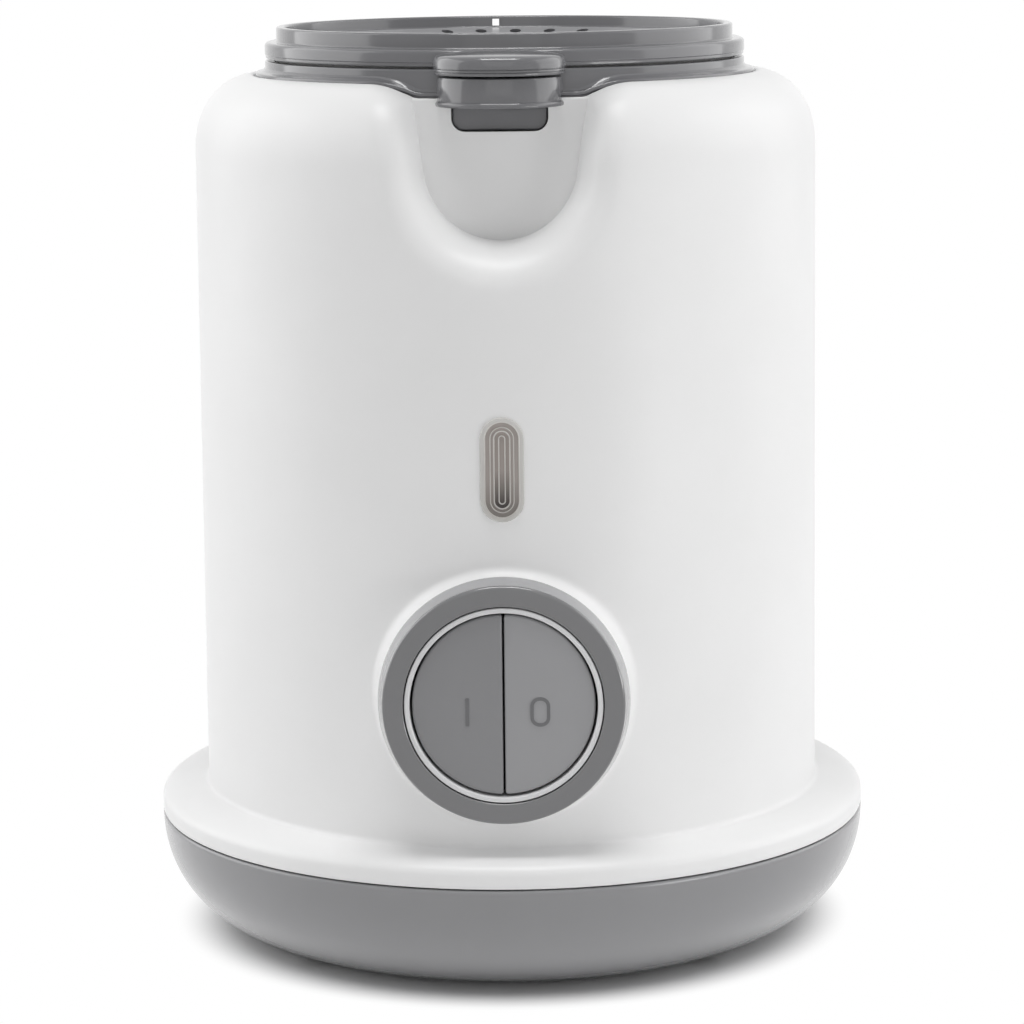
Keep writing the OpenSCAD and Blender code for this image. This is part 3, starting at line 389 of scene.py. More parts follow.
def skinSpot(x, z, r):  # a point of the plain front, with the raised ring under the bezel
    y = math.sqrt(max(r * r - x * x, 1))
    away = math.hypot(x, z - sf["buttonZ"])
    if away < sf["bossReach"]:
        slope = sf["bossSlope"] * (1 + sf["bossSide"] * (x / max(away, 1)) ** 2)  # steeper where the wall falls away
        ring = sf["bossOut"] - slope * max(away - sf["bossR"], 0)
        y = softMax(y, ring, sf["bossBlend"])
    return (x, -y, z)


def buildShell():
    sm = shellMesh
    points, lining, index, faces = [], [], {}, []
    turnMax, rectZ = math.radians(sm["frontTurn"]), sm["rectZ"]
    sideCols, lipCols, wallCols = sm["sideCols"], sm["lipCols"], sm["wallCols"]
    arcSteps, sideSteps, backCols = sm["arcSteps"], sm["sideSteps"], sm["backCols"]
    frontCols = arcSteps - 2 * sideSteps
    frontTurns = between(-turnMax, turnMax, frontCols)
    backTurns = [turnMax + (2 * math.pi - 2 * turnMax) * k / backCols for k in range(backCols + 1)]
    scoopTurns = [math.pi + lean + (math.pi - 2 * lean) * k / arcSteps for k in range(arcSteps + 1)]
    sideZs = between(sideZ, rectZ, sideSteps)

    def keyOf(p):
        return tuple(round(c, 3) for c in p)

    def spot(p, under=None):  # number of a point, and the point under it where that is known
        key = keyOf(p)
        if key not in index:
            index[key] = len(points)
            points.append(p)
            lining.append(under)
        return index[key]

    def spots(row):
        return [spot(p) for p in row]

    def grid(rows):
        for a, b in zip(rows, rows[1:]):
            for k in range(len(a) - 1):
                quad = [a[k], a[k + 1], b[k + 1], b[k]]
                quad = [q for i, q in enumerate(quad) if q not in quad[:i]]
                if len(quad) > 2:
                    faces.append(tuple(quad))

    def lowered(z, share):  # the top comes down beside the scoop
        dip = sf["dipFrom"]
        if z < dip:
            return z
        top = sf["edgeZ"] + (sf["topZ"] - sf["edgeZ"]) * (1 - (1 - min(share, 1)) ** 2)
        return dip + (z - dip) * (top - dip) / (sf["topZ"] - dip)

    def wallY(x, z):  # face of the well inside the scoop, rounded at its top
        drop, e, r = sf["edgeZ"] - z, sf["edgeR"], sf["wallR"]
        if drop < e:
            r -= e - math.sqrt(max(e * e - (e - max(drop, 0)) ** 2, 0))
        return math.sqrt(r * r - x * x)

    def lipSpot(x, z, r, s, share):  # s runs from 0 at the well's face to 1 on the wall
        z = lowered(z, share)
        inner = wallY(x, z)
        outer = math.sqrt(r * r - x * x)
        return (x, -(inner + (outer - inner) * math.sin(s * math.pi / 2)), z)

    def upperRow(r, z):  # from the left edge of the front to its right edge
        tilt = lean * max(0, 1 - (z - sideZ) / sf["leanFade"])
        edge = sf["scoopR"] * math.cos(lean) + math.tan(lean) * (z - sideZ)
        half = []
        for j in range(sideCols + 1):
            f = j / sideCols
            zOut = z - sf["lip"] * math.sin(tilt) * f
            xOut = r * math.sin(turnMax) * (1 - f) + (edge + sf["lip"] * math.cos(tilt)) * f
            half.append(lipSpot(xOut, zOut, radiusAt(zOut) if tilt > 0 else r, 1, 1))
        for j in range(1, lipCols + 1):
            s = 1 - j / lipCols
            off = sf["lip"] * (1 - math.cos(s * math.pi / 2))
            xIn, zIn = edge + off * math.cos(tilt), z - off * math.sin(tilt)
            half.append(lipSpot(xIn, zIn, radiusAt(zIn) if tilt > 0 else r, s, off / sf["lip"]))
        middle = [lipSpot(edge * (1 - 2 * k / wallCols), z, r, 0, 0) for k in range(1, wallCols)]
        return [(-x, y, h) for x, y, h in half + middle] + half[::-1]

    def backRow(r, z):
        return [(r * math.sin(a), -r * math.cos(a), z) for a in backTurns]

    def edged(first):  # rows that turn the top edge down into the well
        rows, under = [], []
        for x, y, z in first:
            share = 1 - sf["underIn"] / math.hypot(x, y)
            under.append((x * share, y * share, z - sf["thick"]))
            spot((x, y, z), under[-1])
        for dr, dz in sf["topEdge"]:
            row = []
            for (x, y, z), below in zip(first, under):
                r = math.hypot(x, y)
                row.append(spot((x * (r + dr) / r, y * (r + dr) / r, z + dz), below))
            rows.append(row)
        return rows

    # rows from the top edge down: shoulder, then the wall down to the scoop's round bottom
    topTurn, shoulderRows = math.radians(sf["topTurn"]), sm["shoulderRows"]
    upper = [shoulderSpot(topTurn * (1 - i / shoulderRows)) for i in range(shoulderRows + 1)]
    upper += [(wallRadius(z), z) for z in between(sf["shoulderZ"], sideZ, sm["wallRows"])[1:]]
    frontTop = [upperRow(r, z) for r, z in upper]
    backTop = [backRow(r, z) for r, z in upper]
    for rows in (frontTop, backTop):
        grid(edged(rows[0]) + [spots(row) for row in rows])

    # round bottom of the scoop: rings that open out to a rectangle of the wall
    def rectSpot(i):
        if i <= sideSteps:
            return (-radiusAt(sideZs[i]) * math.sin(turnMax), sideZs[i])
        if i >= arcSteps - sideSteps:
            x, z = rectSpot(arcSteps - i)
            return (-x, z)
        return (radiusAt(rectZ) * math.sin(frontTurns[i - sideSteps]), rectZ)

    def scoopSpot(far, a):
        return far * math.cos(a), sf["scoopZ"] + far * math.sin(a)

    sweep = []
    for j in range(sideCols + lipCols + 1):
        ring = []
        for i, a in enumerate(scoopTurns):
            if j <= sideCols:
                f, s = j / sideCols, 1
                out, rim = rectSpot(i), scoopSpot(sf["scoopR"] + sf["lip"], a)
                x, z = (o * (1 - f) + q * f for o, q in zip(out, rim))
            else:
                s = 1 - (j - sideCols) / lipCols
                x, z = scoopSpot(sf["scoopR"] + sf["lip"] * (1 - math.cos(s * math.pi / 2)), a)
            ring.append(spot(lipSpot(x, z, radiusAt(z), s, 1)))
        sweep.append(ring)
    grid(sweep)
    rows = []
    for a in scoopTurns[:arcSteps // 2 + 1]:
        x, z = scoopSpot(sf["scoopR"], a)
        across = [x * (1 - 2 * k / wallCols) for k in range(wallCols + 1)]
        rows.append([spot(lipSpot(u, z, radiusAt(z), 0, 1)) for u in across])
    grid(rows)

    # wall, skirt and lip below, with the front left open round the lamp and the keys
    grid([spots(backRow(radiusAt(z), z)) for z in sideZs])
    wallZs = between(rectZ, sm["lampTop"], sm["plainRows"])[:-1]
    lampZs = between(sm["lampTop"], sm["lampLow"], sm["lampRows"])
    keyZs = between(sm["lampLow"], skirtTop + sf["fillet"] + sm["keyClear"], sm["keyRows"])
    fil, hubR, hubZ = sf["fillet"], sf["bodyR"] + sf["fillet"], skirtTop + sf["fillet"]
    low = [(hubR - fil * math.cos(t), hubZ - fil * math.sin(t)) for t in quarterTurn(sm["filletRows"])]
    domeIn, power = sf["skirtR"] - sf["domeW"], 2 / sf["domeFull"]
    low += [(domeIn + sf["domeW"] * math.sin(t) ** power, sf["lipZ"] + sf["domeH"] * max(math.cos(t), 0) ** power)
            for t in quarterTurn(sm["domeRows"])]
    edge, ease = sf["seamEdge"]
    low += [(sf["skirtR"], z) for z in between(sf["lipZ"], sf["seamZ"] + edge, sm["seamRows"])[1:]]
    low += [(sf["skirtR"] - ease, sf["seamZ"] + ease), (sf["skirtR"] - edge, sf["seamZ"])]

    def frontRow(r, z, first=0, last=frontCols):
        return [spot(skinSpot(r * math.sin(a), z, r)) for a in frontTurns[first:last + 1]]

    lampIn, lampOut = sm["lampCol"], frontCols - sm["lampCol"]
    keyIn, keyOut = sm["keyCol"], frontCols - sm["keyCol"]
    grid([frontRow(radiusAt(z), z) for z in wallZs + lampZs[:1]])
    for zs, left, right in ((lampZs, lampIn, lampOut), (keyZs, keyIn, keyOut)):
        for first, last in ((0, left), (right, frontCols)):
            grid([frontRow(radiusAt(z), z, first, last) for z in zs])
    grid([frontRow(r, z) for r, z in [(radiusAt(keyZs[-1]), keyZs[-1])] + low])
    wall = [(radiusAt(z), z) for z in wallZs + lampZs[:-1] + keyZs]
    grid([spots(backRow(r, z)) for r, z in wall + low])

    def around(zs, first, last, inner, rings, ease):  # rings from a hole out to a rectangle of the wall
        loop = [(frontTurns[k], zs[0]) for k in range(first, last)]
        loop += [(frontTurns[last], z) for z in zs[:-1]]
        loop += [(frontTurns[k], zs[-1]) for k in range(last, first, -1)]
        loop += [(frontTurns[first], z) for z in reversed(zs[1:])]
        made = []
        for j in range(rings + 1):
            f = (j / rings) ** ease
            ring = []
            for a, z in loop:
                r = radiusAt(z)
                x = r * math.sin(a)
                if j < rings:
                    hx, hz = inner(x, z)
                    x, z = hx + (x - hx) * f, hz + (z - hz) * f
                    r = radiusAt(max(z, keyZs[-1]))
                ring.append(spot(skinSpot(x, z, r)))
            made.append(ring + ring[:1])
        grid(made)

    def keyHole(x, z):
        away = math.hypot(x, z - sf["buttonZ"])
        return (x * sf["holeR"] / away, sf["buttonZ"] + (z - sf["buttonZ"]) * sf["holeR"] / away)

    def lampHole(x, z):
        (wide, tall), (nearX, nearZ) = sm["lampBox"], sm["lampNear"]
        up = z - sf["lampZ"]
        best = max(abs(x) / wide, abs(up) / tall)
        x, up = x / best * nearX, up / best * nearZ  # a rectangle just around the pill
        near = min(max(up, -sf["lampHalf"]), sf["lampHalf"])
        away = math.hypot(x, up - near) or 1
        return (x * sf["lampR"] / away, sf["lampZ"] + near + (up - near) * sf["lampR"] / away)

    around(keyZs, keyIn, keyOut, keyHole, sm["keyRings"], sm["keyEase"])
    around(lampZs, lampIn, lampOut, lampHole, sm["lampRings"], sm["lampEase"])

    # inside face, then the rims that close it
    draft = bpy.data.meshes.new("draft")
    draft.from_pydata(points, [], faces)
    bm = bmesh.new()
    bm.from_mesh(draft)
    bpy.data.meshes.remove(draft)
    bmesh.ops.recalc_face_normals(bm, faces=bm.faces[:])
    bm.verts.ensure_lookup_table()
    bm.normal_update()
    count = len(points)
    behind = backTop[shoulderRows // 2][backCols // 2]  # its normal shows which way the faces turned
    flip = -1 if bm.verts[index[keyOf(behind)]].normal.y < 0 else 1
    inside = []
    for i in range(count):
        if lining[i]:
            inside.append(lining[i])
            continue
        r = math.hypot(points[i][0], points[i][1])
        share = min(max((r - sf["thinTo"]) / sf["thinFade"], 0), 1)
        deep = sf["scoopThick"] + (sf["thick"] - sf["scoopThick"]) * share
        under = Vector(points[i]) - bm.verts[i].normal * deep * flip
        if r < sf["thinEnd"]:  # thin wall at the back of the scoop ends below its edge
            under.z = min(under.z, sf["edgeZ"] - sf["thick"])
        inside.append(tuple(under))
    outer = [tuple(v.index for v in f.verts) for f in bm.faces]
    inner = [tuple(count + k for k in reversed(f)) for f in outer if not all(lining[k] for k in f)]
    rims = []
    for edge in bm.edges:
        if edge.is_boundary:
            a, b = (v.index for v in edge.verts)
            rims.append((a, b, count + b, count + a))
    bm.free()
    return meshFrom(points + inside, outer + inner + rims)


shell = finishMesh(buildShell(), "shell", 40, 1e-6)
print("shell skin:", len(shell.data.polygons), "faces")


# well that the basket hangs in, lower where the scoop opens it

wellForm = {
    "inR": 53.6, "outR": 55.8, "low": 150.4, "seat": 192.25, "seatInScoop": 189.9, "scoopHalf": 18.2,
    "edge": (0.4, 0.12), "outEdge": 0.2, "steps": 240,
}
notchForm = {"half": 10.1, "low": 183.2, "top": 210, "corner": 2.8, "depth": (50, 58.5)}


def scoopShare(a):  # 0 in the scoop, 1 clear of it
    if math.cos(a) < 0:
        return 1
    away = abs(wellForm["outR"] * math.sin(a)) - wellForm["scoopHalf"]
    return 1 - (1 - min(max(away / sf["lip"], 0), 1)) ** 2


def wellTop(a):
    return wellForm["seatInScoop"] + (wellForm["seat"] - wellForm["seatInScoop"]) * scoopShare(a)


def buildWell():
    inR, outR, low = wellForm["inR"], wellForm["outR"], wellForm["low"]
    (edge, ease), out = wellForm["edge"], wellForm["outEdge"]
    rows = []
    for a in fullTurn(wellForm["steps"]):
        top = wellTop(a)
        rows.append(spun([(inR, low), (inR, top - edge), (inR + ease, top - ease), (inR + edge, top),
                          (outR - out, top), (outR, top - out), (outR, low)], a))
    return finishMesh(loft(rows + rows[:1], False), "well")


def notchCutter():  # window in shell and well for the basket's lug
    line = tubLine(notchForm["half"], notchForm["low"], notchForm["top"], notchForm["corner"])
    return finishMesh(loft([[(x, -y, z) for x, z in line] for y in notchForm["depth"]]), "notchCutter")


well = buildWell()
cutFrom(shell, notchCutter())
cutFrom(well, notchCutter())
place(shell, "housing", "white_shell", ["whiteShell"], "outer_shell")
place(well, "housing", "white_shell", ["whiteShell"])
print("shell and well done")


# base pan

panForm = {
    "rim": 80.0, "top": 26.85, "flat": 54.0, "bottom": 0.7, "full": 2.1, "wall": 2.6, "edge": (0.4, 0.15, 0.14),
    "stepOut": 77.4, "stepIn": 75.6, "stepTop": 31.2, "stepEdge": 0.2, "rows": 44, "inRows": 24,
    "holes": ((7.25, 43, 2.7), (3.3, 60, 24.0)), "holeLow": -1,  # radius, ring and top, for feet and screws
    "inlet": (5.65, 64), "inletSeat": (7.45, 73.8), "inletZ": 15, "inletEnd": 90,  # radius and how far in
}


def buildPan():
    pf = panForm
    rim, top, flat, bottom = pf["rim"], pf["top"], pf["flat"], pf["bottom"]
    wide, tall, power = rim - flat, top - bottom, 2 / pf["full"]
    edge, easeR, easeZ = pf["edge"]
    outer = [(flat + wide * math.sin(t) ** power, top - tall * math.cos(t) ** power)
             for t in quarterTurn(pf["rows"])[:-1]]
    outer += [(rim, top - edge), (rim - easeR, top - easeZ), (rim - edge, top)]
    out, into, high, e = pf["stepOut"], pf["stepIn"], pf["stepTop"], pf["stepEdge"]
    step = [(out, top), (out, high - e), (out - e, high), (into + e, high), (into, high - e)]
    inner = [(flat + (into - flat) * math.cos(t), top - (tall - pf["wall"]) * math.sin(t))
             for t in quarterTurn(pf["inRows"])]
    outline = [(0, bottom)] + outer + step + inner + [(0, bottom + pf["wall"])]
    made = finishMesh(lathe(outline, 224), "pan", 30)
    cuts = []
    for k in range(4):
        turn = math.radians(45 + 90 * k)
        for r, ring, holeTop in pf["holes"]:
            cuts.append(rod(ring * math.cos(turn), ring * math.sin(turn), r, (pf["holeLow"], holeTop), upright=True))
    inlet, seat = (rod(0, pf["inletZ"], r, (far, pf["inletEnd"])) for r, far in (pf["inlet"], pf["inletSeat"]))
    cutFrom(made, finishMesh(inlet, "inletCutter"))
    return cutFrom(made, finishMesh(joinAll(cuts + [seat]), "panCutter"))


place(buildPan(), "housing", "grey_shell", ["panGrey"], "base_pan")
print("pan done")


# bezel, trim ring and keys on the front axis

keyForm = {
    "height": 65.75, "front": 77.0, "bezelR": 25.25, "rootR": 26.5, "sideR": 25.4, "root": 71.9, "edge": 0.6,
    "rimDrop": 0.93, "rootIn": 0.6, "rootLift": 0.05, "bore": 20.95, "sleeve": 23.2, "sleeveBack": 61.3,
    "ringOut": 20.72, "ringIn": 19.6, "ringFront": 76.85, "ringBack": 70.0,
    "keyR": 19.1, "keyFront": 76.55, "keyBack": 69.4, "gap": 0.4, "corner": 0.6, "leastCorner": 0.25, "dome": 0.5,
    "plungerX": 8.5, "plungerR": 2.2, "plungerBack": 61.8, "plungerIn": 0.5,
    "rows": ((0, None), (0, 0.55), (0.05, 0.3), (0.18, 0.11), (0.38, 0.02), (0.62, 0), (1.6, 0), (3, 0), (5, 0),
             (7, 0), (8.6, 0)),  # inset and drop from the face, the first row is the back
}
kf = keyForm


def frontRing(name, corners, steps):  # turned on the keys' axis
    return finishMesh(lathe(soften(corners, steps), height=kf["height"]), name)


bezel = frontRing("bezel", [
    (kf["bore"], kf["sleeveBack"], 0), (kf["sleeve"], kf["sleeveBack"], 0.2), (kf["sleeve"], kf["root"], 0),
    (kf["rootR"] - 0.5, kf["root"], 0.2), (kf["sideR"] - 0.3, kf["front"] - 0.95, 0),
    (kf["sideR"], kf["front"] - 0.9, 0), (kf["bezelR"], kf["front"], kf["edge"]), (kf["bore"], kf["front"], 0.3)], 7)
place(bezel, "housing", "grey_shell", ["bezelGrey"], "button_bezel")

rootIn, rootLow, rootTop = kf["bezelR"] - kf["rootIn"], kf["root"] + kf["rootLift"], kf["front"] - kf["rimDrop"]
root = frontRing("bezelRoot", [
    (rootIn, rootLow, 0), (kf["rootR"], rootLow, 0.2), (kf["sideR"], rootTop, 0.05), (rootIn, rootTop, 0)], 5)
# the bezel's side wall takes the paler copy of the bezel grey, a painted reflection
place(root, "housing", "grey_shell", ["bezelSideSheen"])

ring = frontRing("trimRing", [
    (kf["ringIn"], kf["ringBack"], 0), (kf["ringOut"], kf["ringBack"], 0),
    (kf["ringOut"], kf["ringFront"], 0.3), (kf["ringIn"], kf["ringFront"], 0.35)], 6)
place(ring, "housing", "trim", ["trimPale"], "trim_ring")


def halfDisc(r, split, corner, side, steps=72, turns=8):  # outline of one key, split line towards the middle
    hubX = split + corner
    hubZ = math.sqrt((r - corner) ** 2 - hubX ** 2)
    lead = math.atan2(hubZ, hubX)
    upper, lower = [], []
    for k in range(turns + 1):
        swing = (math.pi - lead) * k / turns
        upper.append((hubX + corner * math.cos(math.pi - swing), hubZ + corner * math.sin(math.pi - swing)))
        lower.append((hubX + corner * math.cos(-lead - swing), -hubZ + corner * math.sin(-lead - swing)))
    sweep = [lead * (1 - 2 * k / steps) for k in range(1, steps)]
    line = upper + [(r * math.cos(a), r * math.sin(a)) for a in sweep] + lower
    return [(side * x, z) for x, z in line]


def keyFace(x, z):  # the two keys share one shallow dome
    return kf["keyFront"] - kf["dome"] * (x * x + z * z) / kf["keyR"] ** 2


def buildKey(name, side):
    rings = []
    for inset, drop in kf["rows"]:
        corner = max(kf["corner"] - inset, kf["leastCorner"])
        line = halfDisc(kf["keyR"] - inset, kf["gap"] / 2 + inset, corner, side)
        depth = [kf["keyBack"] if drop is None else keyFace(x, z) - drop for x, z in line]
        rings.append([(x, -y, kf["height"] + z) for (x, z), y in zip(line, depth)])
    ends = (-kf["plungerBack"], -(kf["keyBack"] + kf["plungerIn"]))
    plunger = rod(side * kf["plungerX"], kf["height"], kf["plungerR"], ends, 32)
    return finishMesh(joinAll([loft(rings), plunger]), name, 50)


place(buildKey("onKey", -1), "on_key", "key_grey", ["keyGrey"], "on_key")
# the off key gets the lighter copy of the key grey, painted light from the right
place(buildKey("offKey", 1), "off_key", "key_grey", ["keyRightLit"], "off_key")

springForm = {"wire": 0.42, "coil": 3.1, "turns": 6, "front": 69.3, "steps": 24, "press": 1.9}


def buildSpring(node, side, joint):  # coil round the plunger, from the spring's back to just behind its key
    sp = springForm
    x, back = side * kf["plungerX"], -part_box(node)[1][1] / mm
    length, count = sp["front"] - back, sp["turns"] * sp["steps"]
    rings = []
    for i in range(count + 1):
        a = 2 * math.pi * i / sp["steps"]
        out = back + sp["wire"] + (length - 2 * sp["wire"]) * i / count
        ring = []
        for t in fullTurn(8):
            r = sp["coil"] + sp["wire"] * math.cos(t)
            ring.append((x + r * math.cos(a), -out + sp["wire"] * math.sin(t), kf["height"] + r * math.sin(a)))
        rings.append(ring)
    coil = place(finishMesh(loft(rings), joint + "Coil"), "housing", "steel", ["steel"], node)
    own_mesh(coil)


buildSpring("on_key_spring", -1, "on_key_press")
buildSpring("off_key_spring", 1, "off_key_press")

markForm = {
    "drop": 1.4, "place": 7.6, "barW": 0.74, "barH": 5.9, "barR": 0.1, "loopW": 4.1, "loopH": 6.2, "loopR": 1.9,
    "stroke": 0.68, "proud": 0.05, "deep": 0.4,
}
mf = markForm


def buildMark(name, outer, inner, x, body):
    front = keyFace(x, 0) + mf["proud"]
    back, z = front - mf["deep"], kf["height"] - mf["drop"]
    walk = [(outer, back), (outer, front)]
    if inner:
        walk += [(inner, front), (inner, back), (outer, back)]
    rings = [[(x + a, -y, z + b) for a, b in line] for line, y in walk]
    place(finishMesh(loft(rings, not inner), name), body, "dark_plastic", ["markGrey"])


thin = mf["stroke"]
bar = roundBox(mf["barW"], mf["barH"], mf["barR"], 5)
loopOut = roundBox(mf["loopW"], mf["loopH"], mf["loopR"])
loopIn = roundBox(mf["loopW"] - 2 * thin, mf["loopH"] - 2 * thin, mf["loopR"] - thin)
buildMark("onMark", bar, None, -mf["place"], "on_key")
buildMark("offMark", loopOut, loopIn, mf["place"], "off_key")
print("keys done")


# pilot lamp lens: stepped clear pills on a pale flange

lensForm = {
    "height": 114.2, "face": 69.32, "back": 65.2, "stem": (3.6, 6.25), "stemFront": 1.2, "half": 6.5, "shown": 68.5,
    "steps": [  # radius, half length, how far it stands proud
        (4.62, 6.42, 0.05), (4.48, 6.42, 0.38), (3.75, 6.45, 0.44), (3.68, 6.5, 0.52), (3.5, 6.5, 0.52),
        (3.42, 6.5, 0.22), (2.58, 6.5, 0.2), (2.5, 6.5, 0.4), (2.4, 6.5, 0.4), (2.32, 6.5, 0.2), (1.82, 6.5, 0.2),
        (1.74, 6.5, 0.48), (1.58, 6.5, 0.48), (1.5, 6.5, 0.16), (0.78, 6.5, 0.14), (0.72, 6.5, 0.38),
        (0.56, 6.5, 0.38), (0.5, 6.5, 0.14), (0.2, 6.5, 0.14)],
    "ridges": ((3.4, 3.72), (2.3, 2.6), (1.49, 1.84), (0.49, 0.79)), "flange": 3.72, "smokeTo": 1.6,
    "ior": 1.49, "fall": (0.1045, 0.1205), "rippleScale": 600, "rippleDetail": 2, "ripple": 0.15,
    "rippleDepth": 0.00005,  # the fall's two heights and this depth are in metres
}
lensLooks = {  # colours up the lens, roughness, clearness
    "lensPale": (((0.0, (222, 220, 216)), (1.0, (230, 228, 225))), (0.12, 0.2), 0.25),
    "lensSmoke": (((0.15, (66, 61, 58)), (0.6, (172, 163, 157))), (0.06, 0.12), 0.12),
    # painted highlight: the ridge colour is paler, in place of the light caught along the step edges
    "lensRidgeGlint": (((0.0, (206, 202, 198)), (1.0, (222, 219, 215))), (0.1, 0.16), 0.1),
    "lensTint": (((0.1, (140, 134, 129)), (0.5, (178, 170, 165))), (0.06, 0.12), 0.12),
}


def glassFinish(name, colours, rough, clear):  # darker towards the lamp in the lower third
    mat, tree, shader, spot = startFinish(name)
    shader.inputs["IOR"].default_value = lensForm["ior"]
    shader.inputs["Transmission Weight"].default_value = clear
    part = tree.nodes.new("ShaderNodeSeparateXYZ")
    tree.links.new(spot, part.inputs["Vector"])
    fall = mapRange(tree, part.outputs["Z"], lensForm["fall"], (0, 1))
    colourRamp(tree, fall.outputs["Result"], colours, shader)
    ripple = noiseOver(tree, spot, lensForm["rippleScale"], lensForm["rippleDetail"])
    span = mapRange(tree, ripple, (0, 1), rough)
    tree.links.new(span.outputs["Result"], shader.inputs["Roughness"])
    bumpFrom(tree, ripple, lensForm["ripple"], lensForm["rippleDepth"], shader)
    return mat


def buildLens():
    face, height = lensForm["face"], lensForm["height"]
    stem = pillLine(*lensForm["stem"], 16)
    rings = [[(x, -y, height + z) for x, z in stem] for y in (lensForm["back"], face - lensForm["stemFront"])]
    for r, half, proud in lensForm["steps"]:
        line = pillLine(r, half, 16)
        rings.append([(x, -(math.sqrt(face ** 2 - x * x) + proud), height + z) for x, z in line])
    return finishMesh(loft(rings), "lens", 30)


finishes.update({name: glassFinish(name, *look) for name, look in lensLooks.items()})
lens = place(buildLens(), "housing", "lens", ["lensPale", "lensSmoke", "lensRidgeGlint", "lensTint"], "indicator_lens")
for face in lens.data.polygons:  # flange pale; ridges painted paler, a painted highlight of the light caught on their step edges, with the smoky hollows between them
    x, z = abs(face.center.x) / mm, abs(face.center.z / mm - lensForm["height"])
    past = math.hypot(x, max(z - lensForm["half"], 0))
    if face.center.y > -lensForm["shown"] * mm or past > lensForm["flange"]:
        continue
    if any(low < past <= high for low, high in lensForm["ridges"]):
        face.material_index = 2
    else:
        face.material_index = 3 if past > lensForm["smokeTo"] else 1
print("lens done")


# tongues of lid and basket: rounded plan, lofted upwards

def tongue(form):
    layers = [(form["low"] + up, inset) for up, inset in form["rows"]]
    layers += [(form["top"] + up, inset) for up, inset in form["crown"]]
    rings = []
    for z, inset in layers:
        half, far = form["w"] / 2 - inset, form["reach"] - inset
        rad = max(form["corner"] - inset, 0.5)  # never a sharp corner
        line = [(-half, -form["back"])]
        for side, start in ((-1, math.pi), (1, 1.5 * math.pi)):
            for t in quarterTurn(24):
                a = start + t
                line.append((side * (half - rad) + rad * math.cos(a), -far + rad + rad * math.sin(a)))
        line.append((half, -form["back"]))
        rings.append([(x, y, z) for x, y in line])
    return loft(rings)


lidForm = {
    "flangeR": 53.2, "flangeLow": 196.4, "flangeTop": 200.0, "rimR": 50.6, "rimIn": 48.8, "rimTop": 203.3,
    "floorLow": 198.0, "floorTop": 200.7, "dish": ((42.0, 199.55), (36.0, 199.25)), "paleIn": 0.3,
    "sealIn": 49.0, "grooveIn": 49.5, "grooveOut": 50.3, "grooveTop": 197.45,
    "slots": 18, "slotW": 2.4, "slotIn": 13.0, "slotOut": 33.0, "cutZ": (196, 202),
    "notchX": -3.0, "notchHalf": 0.8, "notchY": (46, 53), "notchZ": (201.0, 202.6),
    "vents": 5, "ventStep": 10.4, "ventAt": -2.2, "ventRing": 44.4, "ventHalf": (1.3, 2.0),
    "tab": {
        "w": 27.9, "reach": 66.0, "corner": 13.2, "back": 51.6, "low": 195.0, "top": 199.2,
        "rows": ((0, 0.5), (0.1, 0.28), (0.3, 0.2), (0.62, 0.2), (0.7, 0.38), (0.8, 0.38), (0.88, 0.12), (1.2, 0.12),
                 (1.3, 0.28), (1.42, 0.28), (1.5, 0.0)),
        "crown": ((-1.6, 0.0), (-1.0, 0.14), (-0.55, 0.42), (-0.25, 0.85), (-0.05, 1.5), (0.12, 2.6), (0.35, 4.6),
                  (0.6, 7.2)),
    },
}


def buildLid():
    lf = lidForm
    flangeR, flangeLow, flangeTop, rimR = lf["flangeR"], lf["flangeLow"], lf["flangeTop"], lf["rimR"]
    outline = soften([
        (0, lf["floorLow"], 0), (lf["sealIn"], lf["floorLow"], 0.4), (lf["sealIn"], flangeLow, 0.15),
        (lf["grooveIn"], flangeLow, 0), (lf["grooveIn"], lf["grooveTop"], 0), (lf["grooveOut"], lf["grooveTop"], 0),
        (lf["grooveOut"], flangeLow, 0), (flangeR - 0.15, flangeLow, 0.35), (flangeR - 0.15, flangeLow + 0.8, 0.1),
        (flangeR, flangeLow + 0.95, 0.12), (flangeR, flangeTop, 0.9), (rimR, flangeTop, 0.5),
        (rimR, lf["rimTop"], 0.55), (lf["rimIn"], lf["rimTop"], 0.55), (lf["rimIn"], lf["floorTop"], 0.4),
        *[(r, z, 1.0) for r, z in lf["dish"]], (0, lf["dish"][-1][1], 0)], 5)
    made = finishMesh(lathe(outline, 224), "lid")
    half, mid = (lf["slotOut"] - lf["slotIn"] - lf["slotW"]) / 2, (lf["slotOut"] + lf["slotIn"]) / 2
    slot = [(mid + z, x) for x, z in pillLine(lf["slotW"] / 2, half, 10)]
    across, along = lf["ventHalf"]
    oval = [(lf["ventRing"] + along * math.cos(t), across * math.sin(t)) for t in fullTurn(24)]
    holes = [(slot, a) for a in fullTurn(lf["slots"])]
    for k in range(lf["vents"]):
        holes.append((oval, math.radians(90 + lf["ventAt"] + lf["ventStep"] * (k - (lf["vents"] - 1) / 2))))
    cuts = [loft([[(*turned(u, v, a), z) for u, v in line] for z in lf["cutZ"]]) for line, a in holes]
    (left, right), (near, far) = [lf["notchX"] + s * lf["notchHalf"] for s in (-1, 1)], lf["notchY"]
    cuts.append(loft([[(left, near, z), (right, near, z), (right, far, z), (left, far, z)] for z in lf["notchZ"]]))
    cutFrom(made, finishMesh(joinAll(cuts), "slotCutter"))
    return mergeInto(made, finishMesh(tongue(lf["tab"]), "tab"))


lid = place(buildLid(), "steam_lid", "grey_shell", ["lidGrey", "lidFloorSheen"], "steam_lid")
for face in lid.data.polygons:  # up-facing floor inside the rim painted paler, a painted reflection of the top light
    away = math.hypot(face.center.x, face.center.y) / mm
    if away < lidForm["rimIn"] - lidForm["paleIn"] and face.normal.z > 0.5:
        face.material_index = 1
print("lid done")


# lift-out basket with its collar, grip and lug

